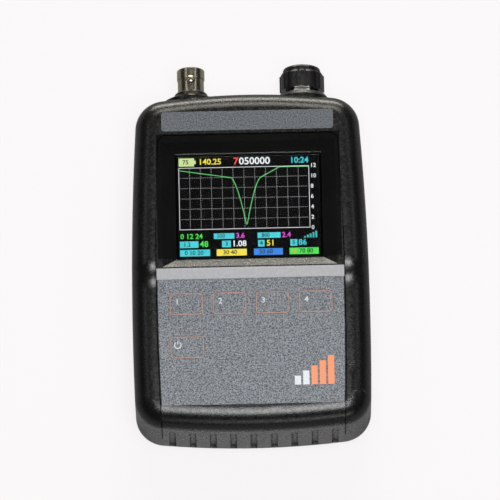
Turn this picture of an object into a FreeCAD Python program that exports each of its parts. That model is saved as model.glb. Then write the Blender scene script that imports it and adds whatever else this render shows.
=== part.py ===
"""Antenna analyzer: a hand-held case with a display, a membrane keypad, an antenna jack and a rotary knob.

Frame: +X to the right of the display, +Y towards the jack and the knob, +Z out of the display.
The origin is on the back face, under the middle of the case. All sizes are in millimetres.
"""
import FreeCAD, Part
import math
import os

import Sketcher

Vector = FreeCAD.Vector
Rotation = FreeCAD.Rotation

doc = FreeCAD.newDocument("antenna_analyzer")

# Driving dimensions
DIMENSIONS = {
    # case
    "case_length": 122.3,
    "case_thickness": 32.0,
    "shoulder_width": 77.35,
    "foot_width": 81.65,
    "side_radius": 1080.0,
    "end_radius": 245.0,
    "foot_radius": 300.0,
    "corner_radius": 10.5,
    "edge_radius": 7.0,
    "back_bevel": 2.0,
    "seam_height": 11.0,
    "wall": 2.2,
    "lip_height": 1.4,
    "lip_wall": 1.0,
    "lip_clearance": 0.15,
    # ledge between the display half and the keypad half
    "ledge_drop": 2.6,
    "ledge_bend": 9.0,
    "ledge_margin": 3.5,
    "ledge_run": 2.9,
    # grip notches and end flutes
    "grip_radius": 4.0,
    "grip_depth": 0.35,
    "grip_start": 14.05,
    "grip_end": 15.55,
    "grip_margin": 0.8,
    "flute_radius": 1.25,
    "flute_depth": 0.8,
    "flute_top": 20.5,
    "flute_pitch": 7.1,
    # front panel
    "panel_shoulder": 16.55,
    "panel_top_width": 62.4,
    "panel_foot_width": 63.4,
    "panel_corner": 2.8,
    "panel_gap": 0.35,
    "flange_wall": 2.0,
    "flange_overlap": 1.4,
    # bezel and display
    "window_width": 51.2,
    "window_height": 38.8,
    "lcd_margin": 3.9,
    "bezel_side_run": 4.9,
    "bezel_end_run": 3.4,
    "bezel_depth": 2.6,
    "bezel_rim": 0.6,
    "lens_thickness": 1.0,
    "lens_margin": 1.5,
    "gasket_thickness": 0.5,
    "gasket_width": 2.2,
    "lcd_width": 58.0,
    "lcd_height": 42.8,
    "lcd_depth": 3.2,
    "lcd_lip": 0.4,
    "lcd_wall": 1.4,
    "lcd_view_width": 49.8,
    "lcd_view_height": 37.6,
    "glass_thickness": 2.2,
    # label plate
    "label_width": 60.4,
    "label_height": 7.3,
    "label_shoulder": 11.35,
    "label_thickness": 0.4,
    "label_corner": 1.0,
    # keypad
    "overlay_ledge": 1.7,
    "overlay_foot": 8.15,
    "overlay_thickness": 0.5,
    "overlay_edge": 0.3,
    "key_width": 11.7,
    "key_height": 7.9,
    "key_corner": 1.2,
    "key_pitch": 15.0,
    "key_ledge": 10.7,
    "row_pitch": 15.8,
    "key_gap": 0.1,
    "key_travel": 0.3,
    "key_flange": 0.8,
    "switch_side": 6.0,
    "switch_height": 2.5,
    "stem_side": 3.4,
    "stem_height": 0.6,
    "keypad_board_width": 58.0,
    "keypad_board_ledge": 2.3,
    "keypad_board_foot": 13.25,
    "board_thickness": 1.2,
    "post_side": 3.4,
    "pin_side": 1.8,
    "post_inset": 3.0,
    # connector and knob axis
    "axis_spacing": 39.1,
    "axis_height": 17.0,
    "collar_radius": 9.5,
    "collar_stand": 1.85,
    "collar_rim": 0.3,
    "jack_collar_top": 6.6,
    "knob_collar_top": 8.3,
    # antenna jack
    "jack_reach": 10.45,
    "jack_radius": 4.85,
    "jack_bore_radius": 4.06,
    "jack_bore_depth": 8.6,
    "jack_thread_radius": 4.6,
    "jack_flange_radius": 5.9,
    "jack_flange": 2.0,
    "jack_rear_radius": 3.6,
    "jack_rear": 3.0,
    "lug_radius": 1.05,
    "lug_height": 0.75,
    "lug_depth": 4.8,
    "lug_root": 0.45,
    "dielectric_radius": 2.1,
    "dielectric_nose": 2.4,
    "contact_radius": 0.68,
    "contact_socket": 0.45,
    "contact_tail": 6.6,
    "nut_radius": 5.8,
    "nut_thickness": 1.5,
    "nut_bevel": 0.7,
    "washer_radius": 6.2,
    "washer_thickness": 0.4,
    # rotary encoder
    "encoder_side": 12.0,
    "encoder_depth": 6.5,
    "encoder_wall": 1.3,
    "bushing_radius": 3.5,
    "bushing_length": 6.8,
    "shaft_radius": 3.0,
    "shaft_clearance": 0.05,
    "disc_radius": 4.9,
    "push_travel": 0.5,
    "encoder_nut_radius": 5.4,
    "encoder_nut": 2.0,
    # knob
    "knob_gap": 1.6,
    "knob_height": 6.4,
    "knob_radius": 7.6,
    "knob_hollow_radius": 6.2,
    "knob_hollow_depth": 2.2,
    "rib_height": 0.25,
    "rib_width": 1.6,
    "groove_width": 0.7,
    "groove_depth": 0.5,
    "cap_radius": 6.6,
    "cap_height": 2.1,
    "cap_round": 0.8,
    # main board
    "main_board_width": 58.0,
    "main_board_shoulder": 10.15,
    "main_board_gap": 11.2,
    "main_board_thickness": 1.6,
    "shield_width": 34.0,
    "shield_length": 26.0,
    "shield_height": 3.6,
    "shield_wall": 0.3,
    "pillar_radius": 2.6,
    "pillar_x": 25.0,
    "pillar_low_inset": 5.0,
    "pillar_high_inset": 11.0,
    # battery
    "cell_radius": 7.25,
    "cell_length": 50.5,
    "cell_gap": 0.25,
    "cells_foot": 24.9,
    "spring_length": 3.7,
    "spring_width": 6.0,
    "spring_leaf": 0.4,
    "contact_plate": 0.4,
    "plate_height": 9.0,
    "tray_wall": 1.2,
    "door_gap": 0.3,
    "door_recess": 0.2,
    "tab_width": 8.0,
    "tab_length": 1.7,
    "tab_thickness": 0.9,
    "tab_spacing": 34.0,
    "thumb_width": 12.0,
    # screws
    "screw_radius": 1.2,
    "screw_clearance": 0.3,
    "screw_head_radius": 2.8,
    "screw_head": 2.0,
    "screw_seat": 3.2,
    "screw_grip": 7.0,
    "boss_radius": 3.4,
    "top_screw_x": 33.5,
    "top_screw_shoulder": 11.65,
    "bottom_screw_x": 35.0,
    "bottom_screw_foot": 11.15,
    "pilot_clearance": 0.05,
}

GRIP_COUNT = 10
FLUTE_COUNT = 9
RIB_COUNT = 8
OVERCUT = 1.0

sheet = doc.addObject("Spreadsheet::Sheet", "Sizes")
for row, (alias, millimetres) in enumerate(DIMENSIONS.items(), start=1):
    sheet.set(f"A{row}", alias)
    sheet.set(f"B{row}", str(millimetres))
    sheet.setAlias(f"B{row}", alias)
doc.recompute()


class Size:
    """A length with the sheet expression that gives it."""

    def __init__(self, value, text):
        self.value = value
        self.text = text

    def __add__(self, other):
        other = as_size(other)
        return Size(self.value + other.value, f"({self.text} + {other.text})")

    def __sub__(self, other):
        other = as_size(other)
        return Size(self.value - other.value, f"({self.text} - {other.text})")

    def __mul__(self, other):
        other = as_size(other)
        return Size(self.value * other.value, f"({self.text} * {other.text})")

    def __truediv__(self, other):
        other = as_size(other)
        return Size(self.value / other.value, f"({self.text} / {other.text})")

    def __neg__(self):
        return Size(-self.value, f"(0 - {self.text})")

    __radd__ = __add__
    __rmul__ = __mul__

    def __rsub__(self, other):
        return as_size(other) - self


class Sheet:
    """The cells of the sheet, by name."""

    def __getattr__(self, alias):
        return Size(float(sheet.get(alias)), f"Sizes.{alias}")


def as_size(number):
    return number if isinstance(number, Size) else Size(number, repr(float(number)))


def root(size):
    return Size(math.sqrt(size.value), f"sqrt({size.text})")


def bind(item, path, size):
    """Bind one property of an object to its expression."""
    item.setExpression(path, as_size(size).text)


mm = Sheet()


# Helpers for primitives and booleans
def place(item, x, y, z, rotation=None):
    if rotation:
        item.Placement = FreeCAD.Placement(Vector(), rotation)
    for path, size in (("x", x), ("y", y), ("z", z)):
        bind(item, f"Placement.Base.{path}", size)
    return item


def block(name, low, high):
    """A box between two corners."""
    item = doc.addObject("Part::Box", name)
    bind(item, "Length", as_size(high[0]) - low[0])
    bind(item, "Width", as_size(high[1]) - low[1])
    bind(item, "Height", as_size(high[2]) - low[2])
    return place(item, *low)


AXES = {
    "x": Rotation(Vector(0, 1, 0), 90),
    "y": Rotation(Vector(1, 0, 0), -90),
    "z": Rotation(),
}


def rod(name, radius, length, start, axis="z"):
    """A cylinder from its start along an axis."""
    item = doc.addObject("Part::Cylinder", name)
    bind(item, "Radius", radius)
    bind(item, "Height", length)
    return place(item, *start, rotation=AXES[axis])


def ball(name, radius, centre):
    item = doc.addObject("Part::Sphere", name)
    bind(item, "Radius", radius)
    return place(item, *centre)


def cut(name, base, *tools):
    item = doc.addObject("Part::Cut", name)
    item.Base = base
    item.Tool = tools[0] if len(tools) == 1 else joined(name + "_tools", *tools)
    return item


def joined(name, *pieces):
    item = doc.addObject("Part::MultiFuse", name)
    item.Shapes = list(pieces)
    return item


def shared(name, *pieces):
    item = doc.addObject("Part::MultiCommon", name)
    item.Shapes = list(pieces)
    return item


def group(name, *pieces):
    item = doc.addObject("Part::Compound", name)
    item.Links = list(pieces)
    return item


# Helpers for bodies made from sketches
def new_body(name):
    return doc.addObject("PartDesign::Body", name)


def new_sketch(body, name, plane, offset=None):
    sketch = body.newObject("Sketcher::SketchObject", name)
    origin_plane = next(item for item in body.Origin.OriginFeatures if item.Role == plane)
    sketch.AttachmentSupport = [(origin_plane, "")]
    sketch.MapMode = "FlatFace"
    if offset is not None:
        bind(sketch, "AttachmentOffset.Base.z", offset)
    return sketch


START_POINT, CENTRE_POINT = 1, 3


def pin_point(sketch, edge, x, y, point=START_POINT):
    """Fix the start point or the centre of a sketch edge."""
    for kind, size, axis in (("DistanceX", x, -2), ("DistanceY", y, -1)):
        size = as_size(size)
        if size.text == "0.0":
            sketch.addConstraint(Sketcher.Constraint("PointOnObject", edge, point, axis))
            continue
        index = sketch.addConstraint(Sketcher.Constraint(kind, edge, point, size.value))
        bind(sketch, f"Constraints[{index}]", size)


def close_loop(sketch, first, count):
    for step in range(count):
        following = first + (step + 1) % count
        sketch.addConstraint(Sketcher.Constraint("Coincident", first + step, 2, following, 1))


def polygon(sketch, corners):
    """A closed outline of straight edges."""
    first = sketch.GeometryCount
    points = [Vector(as_size(x).value, as_size(y).value, 0) for x, y in corners]
    for index, point in enumerate(points):
        sketch.addGeometry(Part.LineSegment(point, points[(index + 1) % len(points)]))
    close_loop(sketch, first, len(points))
    for index, (x, y) in enumerate(corners):
        pin_point(sketch, first + index, x, y)


def arc_between(start, end, radius):
    """An arc that turns to the left on its way from start to end."""
    chord = end - start
    middle = (start + end) * 0.5
    sag = radius - math.sqrt(radius ** 2 - chord.Length ** 2 / 4)
    outward = Vector(chord.y, -chord.x, 0).normalize()
    return Part.Arc(start, middle + outward * sag, end)


def bowed_outline(sketch, corners, radii):
    """A closed outline of bowed edges, anticlockwise; a radius of None is a straight edge."""
    first = sketch.GeometryCount
    points = [Vector(x.value, y.value, 0) for x, y in corners]
    for index, radius in enumerate(radii):
        start, end = points[index], points[(index + 1) % len(points)]
        if radius is None:
            sketch.addGeometry(Part.LineSegment(start, end))
        else:
            sketch.addGeometry(arc_between(start, end, radius.value))
    close_loop(sketch, first, len(points))
    for index, (x, y) in enumerate(corners):
        pin_point(sketch, first + index, x, y)
    for index, radius in enumerate(radii):
        if radius is not None:
            constraint = sketch.addConstraint(Sketcher.Constraint("Radius", first + index, radius.value))
            bind(sketch, f"Constraints[{constraint}]", radius)


def pad(body, name, sketch, length):
    feature = body.newObject("PartDesign::Pad", name)
    feature.Profile = sketch
    bind(feature, "Length", length)
    doc.recompute()
    return feature


def pocket_across(body, name, sketch, length):
    """Cut a side profile through the whole width, to both sides of the sketch."""
    before = body.Shape.Volume
    feature = body.newObject("PartDesign::Pocket", name)
    feature.Profile = sketch
    feature.SideType = "Symmetric"
    bind(feature, "Length", length)
    doc.recompute()
    if feature.Shape.Volume > before - 1:
        raise RuntimeError(f"{name} cuts nothing")
    return feature


def edge_names(shape, test):
    return [f"Edge{index}" for index, edge in enumerate(shape.Edges, start=1) if test(edge)]


def is_upright(edge):
    box = edge.BoundBox
    return box.XLength < 1e-4 and box.YLength < 1e-4


def round_edges(body, name, base, names, radius):
    feature = body.newObject("PartDesign::Fillet", name)
    feature.Base = (base, names)
    bind(feature, "Radius", radius)
    doc.recompute()
    return feature


def turned(name, profile, centre=None, axis="y"):
    """A solid of revolution: the profile's points are (radius, place along the axis)."""
    body = new_body(name)
    sketch = new_sketch(body, name + "_profile", "XZ_Plane")
    polygon(sketch, profile)
    feature = body.newObject("PartDesign::Revolution", name + "_turn")
    feature.Profile = sketch
    feature.ReferenceAxis = (sketch, ["V_Axis"])
    feature.Angle = 360
    place(body, *(centre or (0, 0, 0)), rotation=AXES[axis])
    doc.recompute()
    return body


def rounded_plate(name, width, height, middle, low, high, corner):
    """An upright plate with rounded corners."""
    body = new_body(name)
    sketch = new_sketch(body, name + "_outline", "XY_Plane", low)
    half_width, half_height = as_size(width) / 2, as_size(height) / 2
    corners = [(-half_width, -half_height), (half_width, -half_height),
               (half_width, half_height), (-half_width, half_height)]
    polygon(sketch, corners)
    plate = pad(body, name + "_pad", sketch, as_size(high) - low)
    round_edges(body, name + "_corners", plate, edge_names(plate.Shape, is_upright), corner)
    return place(body, middle[0], middle[1], 0)


nodes = {}


def keep(item, name):
    """Name a finished sub-part; the name is also its file's name."""
    item.Label = name
    nodes[name] = item
    return item


# Places that several sub-parts share
half_length = mm.case_length / 2
top_corner = half_length - mm.end_radius + root(mm.end_radius * mm.end_radius
                                                - mm.shoulder_width * mm.shoulder_width / 4)
foot_corner = half_length - mm.foot_radius + root(mm.foot_radius * mm.foot_radius
                                                  - mm.foot_width * mm.foot_width / 4)
keypad_height = mm.case_thickness - mm.ledge_drop
panel_top = half_length - mm.panel_shoulder
window_middle = panel_top - mm.lcd_margin - mm.lcd_height / 2
ledge_middle = window_middle - mm.lcd_height / 2 - mm.ledge_margin
label_middle = half_length - mm.label_shoulder
overlay_top = ledge_middle - mm.overlay_ledge
overlay_bottom = mm.overlay_foot - half_length
key_row = ledge_middle - mm.key_ledge
power_row = key_row - mm.row_pitch
keypad_board_high = ledge_middle - mm.keypad_board_ledge
keypad_board_low = mm.keypad_board_foot - half_length
collar_top = half_length + mm.collar_stand
jack_mouth = collar_top + mm.jack_reach
knob_rim = collar_top + mm.knob_gap
knob_shoulder = knob_rim + mm.knob_height
cells_middle = mm.cells_foot - half_length
jack_x = -mm.axis_spacing / 2
knob_x = mm.axis_spacing / 2
SCREW_PLACES = [(side * x, y) for x, y in ((mm.top_screw_x, half_length - mm.top_screw_shoulder),
                                           (mm.bottom_screw_x, mm.bottom_screw_foot - half_length))
                for side in (-1, 1)]


def half_width_at(y):
    """Half of the case's width at a place along its length."""
    mean = (mm.shoulder_width + mm.foot_width) / 4
    lean = (mm.shoulder_width - mm.foot_width) / 4 * y / top_corner
    bulge = (top_corner * top_corner - as_size(y) * y) / (mm.side_radius * 2)
    return mean + lean + bulge


def shoulder_at(x):
    """Place of the case's upper end face, off the middle by x."""
    return half_length - as_size(x) * x / (mm.end_radius * 2)


def foot_at(x):
    """Place of the case's lower end face, off the middle by x."""
    return as_size(x) * x / (mm.foot_radius * 2) - half_length


# Case forms
def corner_centre(first, second, radius):
    """Centre of a small circle that touches two large circles, given as centre and radius, from inside."""
    (first_centre, first_radius), (second_centre, second_radius) = first, second
    gap = second_centre - first_centre
    first_reach, second_reach = first_radius - radius, second_radius - radius
    along = (first_reach ** 2 - second_reach ** 2 + gap.Length ** 2) / (2 * gap.Length)
    across = math.sqrt(first_reach ** 2 - along ** 2)
    gap.normalize()
    foot = first_centre + gap * along
    sideways = Vector(-gap.y, gap.x, 0) * across
    return min(foot + sideways, foot - sideways, key=lambda point: point.Length)


def arc_towards(centre, radius, start, end):
    """An anticlockwise arc whose ends lie in the directions of two vectors."""
    start_angle, end_angle = math.atan2(start.y, start.x), math.atan2(end.y, end.x)
    if end_angle < start_angle:
        end_angle += math.tau
    return Part.ArcOfCircle(Part.Circle(centre, Vector(0, 0, 1), radius), start_angle, end_angle)


def case_outline(sketch, inset):
    """The outline seen from the front: bowed sides and ends, joined by round corners that touch them."""
    foot, shoulder = mm.foot_width / 2, mm.shoulder_width / 2
    run, rise = shoulder - foot, top_corner + foot_corner
    bow = root(mm.side_radius * mm.side_radius / (run * run + rise * rise) - 0.25)
    side_x = (foot + shoulder) / 2 - rise * bow
    side_y = (top_corner - foot_corner) / 2 + run * bow
    centres = [(0, mm.foot_radius - half_length), (side_x, side_y),
               (0, half_length - mm.end_radius), (-side_x, side_y)]
    radii = [mm.foot_radius - inset, mm.side_radius - inset, mm.end_radius - inset, mm.side_radius - inset]
    corner = mm.corner_radius - inset
    circles = [(Vector(as_size(x).value, y.value, 0), radius.value)
               for (x, y), radius in zip(centres, radii)]
    corners = [corner_centre(circles[index - 1], circles[index], corner.value) for index in range(4)]
    for index, (centre, radius) in enumerate(circles):
        following = (index + 1) % 4
        start, end = corners[index] - centre, corners[following] - centre
        sketch.addGeometry(arc_towards(centre, radius, start, end))
        sketch.addGeometry(arc_towards(corners[following], corner.value, end,
                                       corners[following] - circles[following][0]))
    for edge in range(8):
        sketch.addConstraint(Sketcher.Constraint("Tangent", edge, 2, (edge + 1) % 8, 1))
    for index, (place_of_centre, radius) in enumerate(zip(centres, radii)):
        pin_point(sketch, 2 * index, *place_of_centre, point=CENTRE_POINT)
        for edge, size in ((2 * index, radius), (2 * index + 1, corner)):
            constraint = sketch.addConstraint(Sketcher.Constraint("Radius", edge, size.value))
            bind(sketch, f"Constraints[{constraint}]", size)


def case_block(name, inset, low, high):
    """A block with the case's outline."""
    body = new_body(name)
    sketch = new_sketch(body, name + "_outline", "XY_Plane", low)
    case_outline(sketch, as_size(inset))
    return body, pad(body, name + "_pad", sketch, as_size(high) - low)


def ledge_profile(top, bottom):
    """Side profile of what is cut away above the keypad half, with a straight slope."""
    far, above = -mm.case_length, mm.case_thickness * 2
    upper, lower = ledge_middle + mm.ledge_run / 2, ledge_middle - mm.ledge_run / 2
    return [(upper, top), (upper, above), (far, above), (far, bottom), (lower, bottom)]


def front_form(name):
    """The front's outer form: the raised display half runs down to the keypad half in a soft bend."""
    top = mm.case_thickness
    body, blank = case_block(name, 0, mm.seam_height, top)
    sketch = new_sketch(body, name + "_bend", "YZ_Plane")
    half_run = root(mm.ledge_bend * mm.ledge_drop - mm.ledge_drop * mm.ledge_drop / 4)
    upper = (ledge_middle + half_run, top)
    middle = (ledge_middle, top - mm.ledge_drop / 2)
    lower = (ledge_middle - half_run, top - mm.ledge_drop)
    far = -mm.case_length
    above = top + mm.case_thickness
    points = [Vector(y.value, z.value, 0) for y, z in (upper, middle, lower)]
    sketch.addGeometry(arc_between(points[0], points[1], mm.ledge_bend.value))
    sketch.addGeometry(arc_between(points[2], points[1], mm.ledge_bend.value))
    outer = [lower, (far, top - mm.ledge_drop), (far, above), (upper[0], above)]
    outer_points = [Vector(y.value, z.value, 0) for y, z in outer] + [points[0]]
    for start, end in zip(outer_points, outer_points[1:]):
        sketch.addGeometry(Part.LineSegment(start, end))
    sketch.addConstraint(Sketcher.Constraint("Coincident", 0, 2, 1, 2))
    sketch.addConstraint(Sketcher.Constraint("Coincident", 1, 1, 2, 1))
    for edge in (2, 3, 4):
        sketch.addConstraint(Sketcher.Constraint("Coincident", edge, 2, edge + 1, 1))
    sketch.addConstraint(Sketcher.Constraint("Coincident", 5, 2, 0, 1))
    for edge in (0, 1):
        constraint = sketch.addConstraint(Sketcher.Constraint("Radius", edge, mm.ledge_bend.value))
        bind(sketch, f"Constraints[{constraint}]", mm.ledge_bend)
    pin_point(sketch, 0, *upper)
    for edge, (y, z) in enumerate(outer, start=2):
        pin_point(sketch, edge, y, z)
    index = sketch.addConstraint(Sketcher.Constraint("DistanceX", 0, 2, middle[0].value))
    bind(sketch, f"Constraints[{index}]", middle[0])
    bent = pocket_across(body, name + "_drop", sketch, mm.case_length * 2)
    threshold = (top - mm.ledge_drop).value - 0.01

    def on_rim(edge):
        box = edge.BoundBox
        runs_across = box.YLength < 1e-3 and box.ZLength < 1e-3
        return box.ZMin > threshold and not runs_across

    round_edges(body, name + "_rim", bent, edge_names(bent.Shape, on_rim), mm.edge_radius)
    return body


def bevelled_block(name, inset, top):
    """A block of the front's room, with a bevel that follows the outer rounding."""
    body, blank = case_block(name, inset, mm.seam_height - OVERCUT, top)

    def on_rim(edge):
        return edge.BoundBox.ZMin > top.value - 0.01

    bevel = body.newObject("PartDesign::Chamfer", name + "_rim")
    bevel.Base = (blank, edge_names(blank.Shape, on_rim))
    bind(bevel, "Size", (mm.edge_radius - inset) * (2 - math.sqrt(2)))
    doc.recompute()
    return body


def hollow_form(name, inset):
    """The room inside the front, with a higher roof under the display half."""
    low_room = bevelled_block(name + "_low", inset, keypad_height - inset)
    high_room = bevelled_block(name + "_high", inset, mm.case_thickness - inset)
    limit = block(name + "_limit", (-mm.case_length, ledge_middle + mm.ledge_run, 0),
                  (mm.case_length, mm.case_length, mm.case_thickness))
    return joined(name, low_room, shared(name + "_display_half", high_room, limit))


def panel_block(name, offset, low, high):
    """A block with the panel's outline: bowed sides, the case's own foot, two rounded top corners."""
    offset = as_size(offset)
    body = new_body(name)
    sketch = new_sketch(body, name + "_outline", "XY_Plane", low)
    top = mm.panel_top_width / 2 + offset
    foot = mm.panel_foot_width / 2 + offset
    foot_y = mm.foot_radius - half_length - root(mm.foot_radius * mm.foot_radius - foot * foot)
    corners = [(-foot, foot_y), (foot, foot_y), (top, panel_top + offset), (-top, panel_top + offset)]
    bowed_outline(sketch, corners, [mm.foot_radius, mm.side_radius, None, mm.side_radius])
    blank = pad(body, name + "_pad", sketch, as_size(high) - low)

    def is_top_corner(edge):
        return is_upright(edge) and edge.BoundBox.YMin > 0

    feature = round_edges(body, name + "_corners", blank, edge_names(blank.Shape, is_top_corner),
                          mm.panel_corner + offset)
    return body, feature


front_outer = front_form("front_outer")
front_inner = hollow_form("front_inner", mm.wall)
flange_inner = hollow_form("flange_inner", mm.wall + mm.flange_wall)

# Grip notches down both sides, and the flutes across the foot
grip_tools = []
grip_low = mm.back_bevel + mm.grip_margin
grip_length = keypad_height - mm.edge_radius - mm.grip_margin - grip_low
grip_pitch = (mm.case_length - mm.grip_start - mm.grip_end) / (GRIP_COUNT - 1)
for index in range(GRIP_COUNT):
    notch_y = half_length - mm.grip_start - grip_pitch * index
    notch_x = half_width_at(notch_y) + mm.grip_radius - mm.grip_depth
    for side in (-1, 1):
        grip_tools.append(rod(f"grip_{index}_{side}", mm.grip_radius, grip_length,
                              (side * notch_x, notch_y, grip_low)))
grips = joined("grips", *grip_tools)

flute_tools = []
flute_shoulder = mm.flute_top - mm.flute_radius
for index in range(FLUTE_COUNT):
    flute_x = mm.flute_pitch * (index - (FLUTE_COUNT - 1) / 2)
    flute_y = foot_at(flute_x) + mm.flute_depth - mm.flute_radius
    flute_tools.append(rod(f"flute_{index}", mm.flute_radius, flute_shoulder - grip_low,
                           (flute_x, flute_y, grip_low)))
    flute_tools.append(ball(f"flute_end_{index}", mm.flute_radius, (flute_x, flute_y, flute_shoulder)))
flutes = joined("flutes", *flute_tools)

# Front shell: rails, shoulder and side walls round the panel's opening
panel_slot, _ = panel_block("panel_slot", mm.panel_gap, mm.seam_height - OVERCUT, mm.case_thickness + OVERCUT)
boss_length = mm.case_thickness - mm.edge_radius / 2 - mm.seam_height
bosses = shared("bosses", front_outer, group("boss_rods", *[
    rod(f"boss_{index}", mm.boss_radius, boss_length, (x, y, mm.seam_height))
    for index, (x, y) in enumerate(SCREW_PLACES)]))
pilots = [rod(f"pilot_{index}", mm.screw_radius + mm.pilot_clearance, mm.screw_grip + 2 * OVERCUT,
              (x, y, mm.seam_height - OVERCUT)) for index, (x, y) in enumerate(SCREW_PLACES)]
label_bed = block("label_bed", (-mm.label_width / 2, label_middle - mm.label_height / 2,
                                mm.case_thickness - mm.label_thickness),
                  (mm.label_width / 2, label_middle + mm.label_height / 2, mm.case_thickness + OVERCUT))
inside_end = shoulder_at(knob_x) - mm.wall
jack_seat = rod("jack_seat", mm.jack_flange_radius + mm.pilot_clearance, mm.encoder_depth,
                (jack_x, inside_end - mm.encoder_depth, mm.axis_height), "y")
jack_hole = rod("jack_hole", mm.jack_thread_radius + mm.pilot_clearance, 4 * mm.wall,
                (jack_x, inside_end - mm.wall, mm.axis_height), "y")
encoder_half = mm.encoder_side / 2 + mm.pilot_clearance
encoder_seat = block("encoder_seat", (knob_x - encoder_half, inside_end - mm.encoder_depth,
                                      mm.axis_height - encoder_half),
                     (knob_x + encoder_half, inside_end, mm.axis_height + encoder_half))
encoder_hole = rod("encoder_hole", mm.bushing_radius + mm.pilot_clearance, 4 * mm.wall,
                   (knob_x, inside_end - mm.wall, mm.axis_height), "y")
shell_wall = cut("shell_wall", front_outer, front_inner)
keep(cut("front_shell_cut", joined("shell_with_bosses", shell_wall, bosses), panel_slot, grips, label_bed,
         jack_seat, jack_hole, encoder_seat, encoder_hole, *pilots), "front_shell")

# Front panel: bezel, ledge, keypad plate and fluted end in one moulding
panel_body, panel_blank = panel_block("panel_form", 0, mm.seam_height, mm.case_thickness)
ledge_sketch = new_sketch(panel_body, "panel_ledge", "YZ_Plane")
polygon(ledge_sketch, ledge_profile(mm.case_thickness, keypad_height))
panel_drop = pocket_across(panel_body, "panel_drop", ledge_sketch, mm.case_length * 2)


def is_foot_edge(edge):
    box = edge.BoundBox
    near_foot = box.YMax < overlay_bottom.value and box.ZMin > keypad_height.value - 0.01
    return near_foot and box.XLength > mm.panel_top_width.value / 2


round_edges(panel_body, "panel_foot_round", panel_drop, edge_names(panel_drop.Shape, is_foot_edge),
            mm.edge_radius)

flange_side = mm.panel_top_width / 2 + mm.flange_overlap
flange_limit = block("flange_limit", (-flange_side, ledge_middle, mm.seam_height),
                     (flange_side, panel_top + mm.flange_overlap, mm.case_thickness))
flange = cut("flange", shared("flange_blank", front_inner, flange_limit), flange_inner)

window_low = window_middle - mm.window_height / 2
window_high = window_middle + mm.window_height / 2
bezel_floor = mm.case_thickness - mm.bezel_depth
bezel_growth = (mm.bezel_depth + OVERCUT) / mm.bezel_depth
bezel_tool = doc.addObject("Part::Wedge", "bezel_tool")
side_run = mm.bezel_side_run * bezel_growth
end_run = mm.bezel_end_run * bezel_growth
for path, size in (
        ("Xmin", -mm.window_width / 2), ("Xmax", mm.window_width / 2),
        ("Ymin", bezel_floor), ("Ymax", mm.case_thickness + OVERCUT),
        ("Zmin", -window_high), ("Zmax", -window_low),
        ("X2min", -mm.window_width / 2 - side_run), ("X2max", mm.window_width / 2 + side_run),
        ("Z2min", -window_high - end_run), ("Z2max", end_run - window_low)):
    bind(bezel_tool, path, size)
bezel_tool.Placement = FreeCAD.Placement(Vector(), Rotation(Vector(1, 0, 0), 90))
window_hole = block("window_hole", (-mm.window_width / 2, window_low, bezel_floor - mm.case_thickness / 2),
                    (mm.window_width / 2, window_high, bezel_floor + mm.bezel_rim / 2))
lens_top = bezel_floor - mm.bezel_rim
lens_bottom = lens_top - mm.lens_thickness
lens_half_width = mm.window_width / 2 + mm.lens_margin
lens_low = window_low - mm.lens_margin
lens_high = window_high + mm.lens_margin
lens_bed = block("lens_bed", (-lens_half_width - mm.pilot_clearance, lens_low - mm.pilot_clearance,
                              lens_top - mm.case_thickness / 2),
                 (lens_half_width + mm.pilot_clearance, lens_high + mm.pilot_clearance, lens_top))

overlay_floor = keypad_height - mm.overlay_thickness
overlay_form, _ = panel_block("overlay_form", -mm.overlay_edge, overlay_floor, keypad_height)
bed_form, _ = panel_block("bed_form", mm.key_gap - mm.overlay_edge, overlay_floor, keypad_height + OVERCUT)
far_side = mm.foot_width / 2
overlay_bed = shared("overlay_bed", bed_form, block(
    "bed_limit", (-far_side, overlay_bottom - mm.key_gap, mm.seam_height),
    (far_side, overlay_top + mm.key_gap, mm.case_thickness)))

ROW_MIDDLE = 2.5
KEYS = {f"key_{number}": (mm.key_pitch * (number - ROW_MIDDLE), key_row) for number in (1, 2, 3, 4)}
KEYS["key_power"] = (KEYS["key_1"][0], power_row)


def key_openings(name, gap):
    return [rounded_plate(f"{name}_{key}", mm.key_width + 2 * gap, mm.key_height + 2 * gap, place_of_key,
                          keypad_height - 3 * mm.wall, keypad_height + OVERCUT, mm.key_corner + gap)
            for key, place_of_key in KEYS.items()]


plate_bottom = keypad_height - mm.wall
key_stack = mm.key_flange + mm.key_gap + mm.key_travel + mm.key_gap / 2 + mm.stem_height + mm.switch_height
keypad_board_top = plate_bottom - key_stack
keypad_board_bottom = keypad_board_top - mm.board_thickness
post_x = mm.keypad_board_width / 2 - mm.post_inset
POST_PLACES = [(side * post_x, y) for side in (-1, 1)
               for y in ((key_row + power_row) / 2, keypad_board_low + mm.post_inset)]


def posts(name, side_length, low, high):
    """Square posts at the board's four fixing places."""
    half = as_size(side_length) / 2
    return [block(f"{name}_{index}", (x - half, y - half, low), (x + half, y + half, high))
            for index, (x, y) in enumerate(POST_PLACES)]


panel_skin = cut("panel_skin", panel_body, front_inner)
panel_solid = joined("panel_solid", panel_skin, flange,
                     *posts("post", mm.post_side, keypad_board_top, plate_bottom + mm.wall / 2),
                     *posts("post_pin", mm.pin_side, keypad_board_bottom, plate_bottom))
keep(cut("front_panel_cut", panel_solid, bezel_tool, window_hole, lens_bed, overlay_bed, flutes,
         *key_openings("panel_key_hole", mm.key_gap * 2)), "front_panel")

# Label plate, overlay and keys
keep(rounded_plate("label_plate_body", mm.label_width - mm.key_gap * 2, mm.label_height - mm.key_gap * 2,
                   (0, label_middle), mm.case_thickness - mm.label_thickness, mm.case_thickness,
                   mm.label_corner), "label_plate")
overlay_sheet = shared("overlay_sheet", overlay_form, block(
    "overlay_limit", (-far_side, overlay_bottom, mm.seam_height),
    (far_side, overlay_top, mm.case_thickness)))
keep(cut("overlay_cut", overlay_sheet, *key_openings("overlay_key_hole", mm.key_gap)), "keypad_overlay")

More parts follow.
